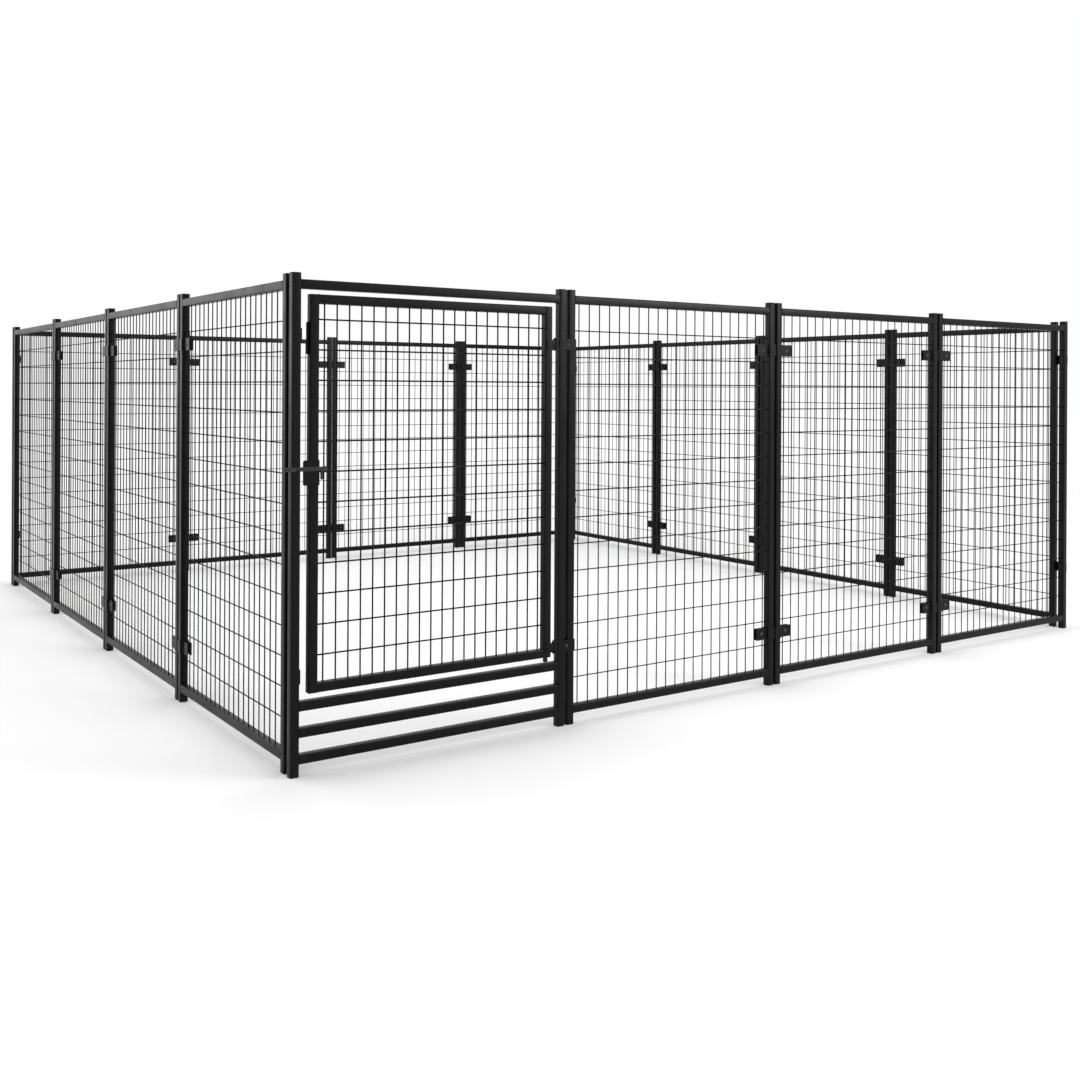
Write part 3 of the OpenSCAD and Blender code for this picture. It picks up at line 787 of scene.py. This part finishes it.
def tube_lines(uprights, rails):
    """Centre lines of tubes: uprights as (x, z0, z1) and rails as (x0, x1, z), by low corners."""
    half = TUBE / 2
    standing = [((x + half, half, z0), (x + half, half, z1)) for x, z0, z1 in uprights]
    lying = [((x0 + WELD_GAP, half, z + half), (x1 - WELD_GAP, half, z + half))
             for x0, x1, z in rails]
    return standing + lying


def seam_lines(rails, place):
    """Weld seams round both ends of each rail of a panel at this place."""
    seams = []
    for x0, x1, z in rails:
        for x in (x0 + SEAM_SHIFT, x1 - SEAM_SHIFT):
            for y in (SEAM_INSET, TUBE - SEAM_INSET):
                seams.append(((x, y, z + TUBE_R), (x, y, z + TUBE - TUBE_R)))
            for level in (z, z + TUBE):
                seams.append(((x, TUBE_R, level), (x, TUBE - TUBE_R, level)))
    return [(place @ Vector(a), place @ Vector(b)) for a, b in seams]


def frame_mesh(uprights, rails):
    mesh = SQUARE_TUBE.grow(lines_mesh(tube_lines(uprights, rails)),
                            Side=TUBE, Corner_radius=TUBE_R, Coat=TUBE_COAT)
    return smooth(mesh, TUBE_SHADE_ANGLE)


def wires_mesh(width, height, uprights, crosses, first_cross, cross_step, wire_r):
    """Welded wires of an opening whose low corner is at the origin."""
    front = TUBE / 2 - wire_r - WIRE_GAP / 2
    back = TUBE / 2 + wire_r + WIRE_GAP / 2
    across = width / uprights
    mesh = WELDED_WIRES.grow(
        bpy.data.meshes.new("empty"),
        Uprights=uprights, First_upright=(across / 2, front, 0), Upright_step=(across, 0, 0),
        Upright_length=height - 2 * WELD_GAP, Upright_ends=(0, 0, height),
        Crosses=crosses, First_cross=(0, back, first_cross), Cross_step=(0, 0, cross_step),
        Cross_length=width - 2 * WELD_GAP, Cross_ends=(width, 0, 0),
        First_crossing=(0, TUBE / 2 - front, first_cross), Wire_radius=wire_r,
        Nugget_radius=NUGGET_SHARE * wire_r, End_weld_radius=END_WELD_SHARE * wire_r,
        Coat=WIRE_COAT)
    return smooth(mesh, WIRE_SHADE_ANGLE)


def placed(mesh, place):
    copy = mesh.copy()
    copy.transform(place)
    return copy


PANEL_POSTS = [(x, FOOT_TH, PANEL_H - CAP_TH) for x in (0, PANEL_W - TUBE)]
PANEL_RAILS = [(TUBE, PANEL_W - TUBE, z) for z in (RAIL_LIFT, TOP_RAIL_Z)]
LOW_RAIL_ZS = [RAIL_LIFT + i * LOW_RAIL_PITCH for i in range(LOW_RAILS)]
GATE_RAILS = [(TUBE, PANEL_W - TUBE, z) for z in [TOP_RAIL_Z] + LOW_RAIL_ZS]
LEAF_UPRIGHT_XS = (LEAF_X, LEAF_X + LEAF_W - TUBE)
LEAF_POSTS = [(x, LEAF_Z + CAP_TH, LEAF_Z + LEAF_H - CAP_TH) for x in LEAF_UPRIGHT_XS]
LEAF_RAILS = [(LEAF_X + TUBE, LEAF_X + LEAF_W - TUBE, z) for z in (LEAF_Z, LEAF_Z + LEAF_H - TUBE)]


def make_panels():
    """Frames, wires and welds of the panels, the gate surround and the leaf."""
    frame_shape = frame_mesh(PANEL_POSTS, PANEL_RAILS)
    wire_shape = wires_mesh(CLEAR_W, CLEAR_H, UPRIGHTS, CROSSES, CROSS_STEP, CROSS_STEP, WIRE_R)
    wire_shape.transform(shift(TUBE, 0, MESH_Z))
    seams = []
    for panel in PLAIN_PANELS:
        place, name = panel_place(panel), panel_name(panel)
        add_piece(name + "_tubes", placed(frame_shape, place), TUBE_COAT,
                  "run", "frame_coat", name + "_frame")
        add_piece(name + "_wires", placed(wire_shape, place), WIRE_COAT,
                  "run", "wire_coat", name + "_mesh")
        seams += seam_lines(PANEL_RAILS, place)
    surround = frame_mesh(PANEL_POSTS, GATE_RAILS)
    add_piece("gate_surround_tubes", placed(surround, GATE), TUBE_COAT,
              "run", "frame_coat", "gate_surround")
    seams += seam_lines(GATE_RAILS, GATE)
    leaf = frame_mesh(LEAF_POSTS, LEAF_RAILS)
    add_piece("leaf_tubes", placed(leaf, GATE), TUBE_COAT, "gate", "frame_coat", "gate_leaf_frame")
    leaf_clear_h = LEAF_H - 2 * TUBE
    leaf_wires = wires_mesh(LEAF_W - 2 * TUBE, leaf_clear_h, LEAF_UPRIGHTS, LEAF_CROSSES,
                            leaf_clear_h - LEAF_CROSS_PITCH / 2, -LEAF_CROSS_PITCH, LEAF_WIRE_R)
    leaf_wires.transform(shift(LEAF_X + TUBE, 0, LEAF_Z + TUBE))
    add_piece("leaf_wires", placed(leaf_wires, GATE), WIRE_COAT,
              "gate", "wire_coat", "gate_leaf_mesh")
    leaf_seams = seam_lines(LEAF_RAILS, GATE)
    for name, lines, body in (("panel_welds", seams, "run"), ("leaf_welds", leaf_seams, "gate")):
        beads = WELD_BEADS.grow(lines_mesh(lines), Bead_radius=BEAD_R, Ripple=BEAD_RIPPLE,
                                Coat=TUBE_COAT)
        add_piece(name, smooth(beads, BEAD_SHADE_ANGLE), TUBE_COAT, body, "frame_coat")


def cap_mesh(thick):
    """End cap seen from outside: a round-cornered flange with a soft rim, lying under z = 0."""
    bm = bmesh.new()
    half = TUBE / 2
    slab(bm, rounded_box(-half, -half, half, half, TUBE_R), -thick, 0)
    return made_mesh(bm, CAP_EASE, segments=3)


def peg_profile():
    """The rest peg under the leaf's hinge upright, about the upright's low end."""
    foot = PEG_GAP - LEAF_LOW_GAP
    return [(0, foot), (PEG_R - 1.5 * MM, foot), (PEG_R - 0.4 * MM, foot + 0.5 * MM),
            (PEG_R, foot + 1.5 * MM), (PEG_R, CAP_TH / 2), (0, CAP_TH / 2)]


def make_ends():
    """Caps and feet of all posts and of the leaf's uprights."""
    half = TUBE / 2
    over = Matrix.Rotation(math.pi, 4, "X")
    tops, feet = [], []
    for panel in PANELS:
        for x in (0, PANEL_W - TUBE):
            post = panel_place(panel) @ shift(x + half, half)
            tops.append(post @ shift(z=PANEL_H))
            feet.append(post @ over)
    set_out("post_cap_tops", cap_mesh(CAP_TH), tops, PLASTIC, "run", "cap_plastic", "post_caps")
    set_out("post_foot_pads", cap_mesh(FOOT_TH), feet, PLASTIC, "run", "cap_plastic", "post_feet")
    uprights = [GATE @ shift(x + half, half) for x in LEAF_UPRIGHT_XS]
    leaf_ends = []
    for upright in uprights:
        leaf_ends.append(upright @ shift(z=LEAF_Z + LEAF_H))
        leaf_ends.append(upright @ shift(z=LEAF_Z) @ over)
    bm = bmesh.new()
    bm.from_mesh(copies_mesh(cap_mesh(CAP_TH), leaf_ends, PLASTIC))
    lathe(bm, peg_profile(), uprights[-1] @ shift(z=LEAF_Z))
    add_piece("leaf_end_caps", made_mesh(bm), PLASTIC, "gate", "cap_plastic", "leaf_caps")


# Fasteners


def bolt_mesh(r, head_r, head_h, length, tail):
    """Carriage bolt along z: domed head below z = 0, plain shank, ridged thread at its end."""
    bm = bmesh.new()
    ball = (head_r ** 2 + head_h ** 2) / (2 * head_h)
    spread_angle = math.asin(head_r / ball)
    dome = [(0, -head_h)]
    for i in range(1, DOME_STEPS):
        a = spread_angle * i / DOME_STEPS
        dome.append((ball * math.sin(a), ball - head_h - ball * math.cos(a)))
    rim = [(head_r, -HEAD_RIM * head_h), (head_r, 0), (r, 0)]
    ridges, z = [], length - tail
    while z + THREAD_PITCH < length - THREAD_STOP:
        ridges += [(r, z), (r, z + 0.35 * THREAD_PITCH), (r * THREAD_ROOT, z + 0.6 * THREAD_PITCH)]
        z += THREAD_PITCH
    end = [(r * 0.85, length - TIP_EASE), (r * 0.7, length), (0, length)]
    lathe(bm, dome + rim + ridges + end)
    return made_mesh(bm)


def nut_mesh(r, width, height):
    """Hexagon nut from z = 0, with softened corners and a raised washer face."""
    bm = bmesh.new()
    turns = [math.pi / 3 * i for i in range(6)]
    hexagon = [(width / 2 * math.cos(a), width / 2 * math.sin(a)) for a in turns]
    slab(bm, hexagon, WASHER_LIFT, height)
    face_r = width * WASHER_SHARE
    lathe(bm, [(r, 0), (face_r, 0), (face_r, WASHER_FACE), (r, WASHER_FACE)])
    return made_mesh(bm, NUT_EASE)


# Clamps, corner straps and hinges

FRONT_TO_Y = Matrix.Rotation(-math.pi / 2, 4, "X")
HALF_TURN = Matrix.Rotation(math.pi, 4, "Z")


def clamp_mesh():
    """Pressed clamp half over a post pair: a groove between them and a wing on each side."""
    bm = bmesh.new()
    right = [(GROOVE_X, GROOVE_Y), (GROOVE_X, FACE_Y), (FLANK_X, FACE_Y), (FLANK_X, WING_Y),
             (WING_END, WING_Y)]
    left = [(-x, y) for x, y in reversed(right)]
    bends = [BEND_R, BEND_R] + [GROOVE_BEND_R] * 4 + [BEND_R, BEND_R]
    bent_plate(bm, left + right, CLAMP_H, (WING_CORNER, WING_CORNER), radii=bends)
    return made_mesh(bm, PLATE_EASE)


def make_clamps():
    """Both halves of the clamps at each joint in line, with their bolts and nuts."""
    outer, inner, bolts, nuts = [], [], [], []
    seat_y = WING_Y - PLATE / 2 - SEAT
    for joint in JOINTS:
        for z in CLAMP_ZS:
            middle = panel_place(joint) @ shift(-JOINT_GAP / 2, 0, z)
            outer.append(middle)
            inner.append(middle @ shift(y=TUBE) @ HALF_TURN)
            for x in (-BOLT_X, BOLT_X):
                bolts.append(middle @ shift(x, seat_y) @ FRONT_TO_Y)
                nuts.append(middle @ shift(x, TUBE - seat_y) @ FRONT_TO_Y)
    length = TUBE - 2 * seat_y + NUT_H + BOLT_TAIL
    set_out("clamp_fronts", clamp_mesh(), outer, PLATE_COAT,
            "run", "hardware_coat", "clamp_outer_halves")
    set_out("clamp_backs", clamp_mesh(), inner, PLATE_COAT,
            "run", "hardware_coat", "clamp_inner_halves")
    bolt = bolt_mesh(BOLT_R, HEAD_R, HEAD_H, length, NUT_H + BOLT_TAIL + THREAD_SPARE)
    set_out("clamp_bolt_set", bolt, bolts, STEEL, "run", "fastener_coat", "clamp_bolts")
    nut = nut_mesh(BOLT_R, NUT_W, NUT_H)
    set_out("clamp_nut_set", nut, nuts, STEEL, "run", "fastener_coat", "clamp_nuts")


def make_corner_straps():
    """Straps on the right-hand faces of the corner posts, each held by two screws."""
    length = 2 * TUBE + CORNER_GAP - 2 * STRAP_INSET
    bm = bmesh.new()
    upright = Matrix.Rotation(math.pi / 2, 4, "Y")
    outline = rounded_box(-CLAMP_H / 2, -length / 2, CLAMP_H / 2, length / 2, STRAP_CORNER)
    slab(bm, outline, 0, STRAP_TH, upright)
    strap = made_mesh(bm, STRAP_EASE)
    straps, screws = [], []
    into_post = Matrix.Rotation(-math.pi / 2, 4, "Y")
    for x in (feet_low.x + TUBE, feet_high.x):
        for y, inward in ((feet_low.y, 1), (feet_high.y, -1)):
            for z in STRAP_ZS:
                straps.append(shift(x + SEAT, y + inward * (TUBE + CORNER_GAP / 2), z))
                for across in (TUBE / 2, TUBE * 1.5 + CORNER_GAP):
                    head = shift(x + STRAP_TH + 2 * SEAT, y + inward * across, z)
                    screws.append(head @ into_post)
    set_out("corner_strap_set", strap, straps, PLATE_COAT, "run", "hardware_coat", "corner_straps")
    screw = bolt_mesh(BOLT_R, HEAD_R, HEAD_H, STRAP_TH + 2 * SEAT + SCREW_REACH, SCREW_REACH)
    set_out("corner_screw_set", screw, screws, STEEL, "run", "fastener_coat", "corner_screws")


def post_band(bm, place=Matrix()):
    """Hinge band half over the post pair, about the joint's centre line."""
    depth = WING_Y + PLATE / 2
    corners = [(-FLANK_X, depth), (-FLANK_X, FACE_Y), (FLANK_X, FACE_Y), (FLANK_X, depth)]
    bent_plate(bm, corners, HINGE_H, (BAND_CORNER, BAND_CORNER), place)


def lug_outline():
    """Flat lug from the post band's flank round the pin."""
    reach = LEAF_SIDE_GAP / 2 - SEAT - PLATE / 2
    root = [(reach, -LUG_R), (reach, LUG_R * 0.6), (LUG_R * 0.5, LUG_R)]
    return arc(0, 0, LUG_R, 90, 270, steps=14) + root


def barrel_profile():
    """The leaf's hinge barrel with eased rims, for turning."""
    bore, high = PIN_R + PIN_GAP, BARREL_H / 2
    face_r, side = BARREL_R - BARREL_EASE, high - BARREL_EASE
    return [(bore, -high), (face_r, -high), (BARREL_R, -side), (BARREL_R, side), (face_r, high),
            (bore, high)]


def pin_profile():
    """Hinge pin with an eased tip and a low domed head, about the middle of its hinge."""
    tip, head = -HINGE_H / 2 - BOLT_TAIL, HINGE_H / 2 + SEAT
    return [(0, tip), (PIN_R - PIN_TIP_EASE, tip), (PIN_R, tip + PIN_TIP_EASE), (PIN_R, head),
            (PIN_HEAD_R, head), (PIN_HEAD_R - 0.4 * MM, head + 0.5 * PIN_HEAD_H),
            (PIN_R, head + 0.9 * PIN_HEAD_H), (0, head + PIN_HEAD_H)]


def make_hinges():
    """Bands on the post pair and on the leaf, their pins, and the bolts through the post bands."""
    post_bm, leaf_bm, pin_bm, back_bm = bmesh.new(), bmesh.new(), bmesh.new(), bmesh.new()
    backs, bolts, nuts = [], [], []
    flank = LEAF_X + LEAF_W + SEAT + PLATE / 2
    grip = flank - TUBE + TUBE_R
    leaf_corners = [(grip, FACE_Y), (flank, FACE_Y), (flank, TUBE - FACE_Y), (grip, TUBE - FACE_Y)]
    web_x0, web_x1 = flank - HINGE_X, -PIN_R - 1 * MM
    web = [(web_x0, -BARREL_R), (web_x1, -BARREL_R * 0.75), (web_x1, BARREL_R * 0.45),
           (web_x0, BARREL_R * 0.6)]
    for z in HINGE_ZS:
        level = GATE @ shift(z=z)
        pair = level @ shift(PAIR_X)
        axis = level @ shift(HINGE_X, HINGE_Y)
        post_band(post_bm, pair)
        for low in (-HINGE_H / 2, HINGE_H / 2 - LUG_TH):
            slab(post_bm, lug_outline(), low, low + LUG_TH, axis)
        backs.append(pair @ shift(y=TUBE) @ HALF_TURN)
        bolts.append(pair @ shift(y=-PLATE - 2 * SEAT) @ FRONT_TO_Y)
        nuts.append(pair @ shift(y=TUBE + PLATE + 2 * SEAT) @ FRONT_TO_Y)
        lathe(pin_bm, pin_profile(), axis)
        bent_plate(leaf_bm, leaf_corners, BARREL_H, (LEAF_BAND_CORNER, LEAF_BAND_CORNER), level)
        lathe(leaf_bm, barrel_profile(), axis)
        slab(leaf_bm, web, -BARREL_H / 2, BARREL_H / 2, axis)
    add_piece("hinge_post_fronts", made_mesh(post_bm, PLATE_EASE), PLATE_COAT,
              "run", "hardware_coat", "hinge_post_bands")
    add_piece("hinge_leaf_straps", made_mesh(leaf_bm, LEAF_BAND_EASE), PLATE_COAT,
              "gate", "hardware_coat", "hinge_leaf_bands")
    add_piece("hinge_pin_set", made_mesh(pin_bm), STEEL, "run", "fastener_coat", "hinge_pins")
    post_band(back_bm)
    set_out("hinge_post_backs", made_mesh(back_bm, PLATE_EASE), backs, PLATE_COAT,
            "run", "hardware_coat", "hinge_back_bands")
    shank = TUBE + 2 * PLATE + 4 * SEAT + HINGE_NUT_H + BOLT_TAIL
    bolt = bolt_mesh(HINGE_BOLT_R, HINGE_HEAD_R, HINGE_HEAD_H, shank,
                     HINGE_NUT_H + BOLT_TAIL + THREAD_SPARE)
    set_out("hinge_bolt_set", bolt, bolts, STEEL, "run", "fastener_coat", "hinge_bolts")
    nut = nut_mesh(HINGE_BOLT_R, HINGE_NUT_W, HINGE_NUT_H)
    set_out("hinge_nut_set", nut, nuts, STEEL, "run", "fastener_coat", "hinge_nuts")


# Latch

STAND = Matrix.Rotation(math.pi / 2, 4, "X")


def arm_outline():
    """The lift arm in elevation about its pivot: round tip, notch, thumb tab and knob."""
    tip = -ARM_PAST - PIVOT_X + ARM_H / 2
    stud, half = TUBE / 2 - PIVOT_X, ARM_H / 2
    notch = STUD_R + NOTCH_CLEAR
    notch_top = STUD_R + SLIDE_GAP
    tab = TUBE / 2 + SEAT + PLATE
    knob = ARM_TAIL - KNOB_R
    meet = math.degrees(math.asin(half / KNOB_R))
    lower = arc(tip, 0, half, 90, 270, steps=10)
    lower += [(stud - notch, -half), (stud - notch, notch_top)]
    lower += [(stud + notch, notch_top), (stud + notch, -half)]
    lower += [(tab, -half)]
    lower += arc(tab + TAB_W / 2, TAB_W / 2 - TAB_DROP, TAB_W / 2, 180, 360, steps=8)
    lower += [(tab + TAB_W, -half)]
    return lower + arc(knob, 0, KNOB_R, meet - 180, 180 - meet, steps=14)


def stud_profile():
    """The stud on the gate post: a flange with an eased rim and a plain pin."""
    tip = ARM_TH + SLIDE_GAP * 2 + PLATE
    return [(0, 0), (FLANGE_R, 0), (FLANGE_R, FLANGE_TH * 0.7), (FLANGE_R - FLANGE_EASE, FLANGE_TH),
            (STUD_R, FLANGE_TH), (STUD_R, tip - STUD_TIP_EASE), (STUD_R - STUD_TIP_EASE, tip),
            (0, tip)]


def stop_outline():
    """The stop lug in elevation: round on its free side, straight against the leaf."""
    r = STOP_REACH * 0.5
    return (arc(-STOP_REACH + r, STOP_L / 2 - r, r, 90, 180)
            + arc(-STOP_REACH + r, r - STOP_L / 2, r, 180, 270)
            + [(0, -STOP_L / 2), (0, STOP_L / 2)])


def make_latch():
    """Bracket, lift arm and pivot on the leaf, the stud on the gate post, and the stop lug."""
    pivot = GATE @ shift(PIVOT_X, 0, LATCH_Z)
    bracket = bmesh.new()
    side = TUBE / 2 + SEAT + PLATE / 2
    corners = [(-TUBE / 2 - BRACKET_EAR, FACE_Y), (side, FACE_Y), (side, WING_Y + PLATE / 2)]
    bent_plate(bracket, corners, BRACKET_H, (EAR_R, BRACKET_CORNER), pivot @ shift(z=-BRACKET_DROP))
    add_piece("latch_bracket_plate", made_mesh(bracket, PLATE_EASE), PLATE_COAT,
              "gate", "hardware_coat", "latch_bracket")
    arm = bmesh.new()
    slab(arm, arm_outline(), -ARM_TH / 2, ARM_TH / 2, pivot @ shift(y=ARM_Y) @ STAND)
    add_piece("latch_lift_arm", made_mesh(arm, ARM_EASE, segments=4), ARM_COAT,
              "latch", "hardware_coat", "latch_arm")
    head_y = ARM_Y - ARM_TH / 2 - SLIDE_GAP
    shank = TUBE + SEAT + NUT_H + BOLT_TAIL - head_y
    bolt = bolt_mesh(PIVOT_R, PIVOT_HEAD_R, HEAD_H, shank, NUT_H + BOLT_TAIL + THREAD_SPARE)
    set_out("latch_pivot_bolt", bolt, [pivot @ shift(y=head_y) @ FRONT_TO_Y], ARM_COAT,
            "gate", "fastener_coat", "latch_pivot")
    nut = nut_mesh(PIVOT_R, NUT_W, NUT_H)
    set_out("latch_pivot_nut", nut, [pivot @ shift(y=TUBE + SEAT) @ FRONT_TO_Y], STEEL,
            "gate", "fastener_coat", "latch_nut")
    stud = bmesh.new()
    lathe(stud, stud_profile(), GATE @ shift(TUBE / 2, -SEAT, LATCH_Z) @ STAND)
    add_piece("latch_post_stud", made_mesh(stud), ARM_COAT, "run", "hardware_coat", "latch_stud")
    lug = bmesh.new()
    slab(lug, stop_outline(), -STOP_TH / 2, STOP_TH / 2,
         GATE @ shift(LEAF_X - SEAT, TUBE / 2, STOP_Z) @ STAND)
    add_piece("leaf_stop_lug", made_mesh(lug, STOP_EASE, segments=3), PLATE_COAT,
              "gate", "hardware_coat", "stop_lug")


# Stage, light and camera

FLOOR_REACH = 60.0
FLOOR_CORNER = 20.0
FLOOR_TH = 0.05
CAMERA_FROM_CORNER = Vector((-1.682, -4.005, 1.413))
CAMERA_YAW = 34.65
CAMERA_ROLL = 0.3
IMAGE_SIDE = 1080
FOCAL_PIXELS = 1179.5
HORIZON_PIXEL = 388.6
SENSOR = 36.0
# Each softbox: its name, place, aim, width, height and power
SOFTBOXES = (
    ("left_rear_softbox", (-9.0, 7.5, 3.8), (-1.0, -1.0, 0.9), 9.0, 5.0, 300),
    ("right_front_softbox", (4.2, -8.2, 3.6), (-0.6, -2.5, 1.6), 2.8, 2.4, 300),
    ("overhead_softbox", (0.0, -1.0, 8.0), (0.0, -0.5, 0.0), 8.0, 8.0, 260),
)
SKY_POWER = 0.5
SKY_SPREAD = 70
SKY_DIRECTION = (0.45, -0.5, -1.0)


def make_stage():
    bm = bmesh.new()
    outline = rounded_box(-FLOOR_REACH, -FLOOR_REACH, FLOOR_REACH, FLOOR_REACH, FLOOR_CORNER)
    slab(bm, outline, -FLOOR_TH, 0)
    floor = bpy.data.objects.new("floor", made_mesh(bm))
    floor.data.materials.append(pale_floor())
    bpy.context.scene.collection.objects.link(floor)


def add_light(name, lamp, direction):
    made = bpy.data.objects.new(name, lamp)
    made.rotation_euler = Vector(direction).to_track_quat("-Z", "Y").to_euler()
    bpy.context.scene.collection.objects.link(made)
    return made


def make_light():
    """White surroundings, three softboxes and a weak, wide sky."""
    world = bpy.data.worlds.new("studio")
    world.use_nodes = True
    world.node_tree.nodes["Background"].inputs["Color"].default_value = (1, 1, 1, 1)
    world.node_tree.nodes["Background"].inputs["Strength"].default_value = 1.0
    bpy.context.scene.world = world
    for name, place, aim, width, height, power in SOFTBOXES:
        lamp = bpy.data.lights.new(name, "AREA")
        lamp.shape = "RECTANGLE"
        lamp.size, lamp.size_y, lamp.energy = width, height, power
        add_light(name, lamp, Vector(aim) - Vector(place)).location = place
    sky = bpy.data.lights.new("soft_sky", "SUN")
    sky.energy, sky.angle = SKY_POWER, math.radians(SKY_SPREAD)
    add_light("soft_sky", sky, SKY_DIRECTION)


def make_camera():
    """Upright camera with a vertical shift and a slight roll, off the run's near left corner."""
    lens = bpy.data.cameras.new("camera")
    lens.sensor_width = SENSOR
    lens.lens = FOCAL_PIXELS / IMAGE_SIDE * SENSOR
    lens.shift_y = (HORIZON_PIXEL - IMAGE_SIDE / 2) / IMAGE_SIDE
    camera = bpy.data.objects.new("camera", lens)
    corner = Vector((feet_low.x, feet_low.y, 0))
    turn = Matrix.Rotation(-math.radians(CAMERA_YAW), 4, "Z") @ Matrix.Rotation(math.pi / 2, 4, "X")
    roll = Matrix.Rotation(math.radians(CAMERA_ROLL), 4, "Z")
    camera.matrix_world = Matrix.Translation(corner + CAMERA_FROM_CORNER) @ turn @ roll
    bpy.context.scene.collection.objects.link(camera)
    bpy.context.scene.camera = camera
    bpy.context.scene.view_settings.view_transform = "Standard"


make_camera()
make_light()
make_stage()
make_panels()
make_ends()
make_clamps()
make_corner_straps()
make_hinges()
make_latch()
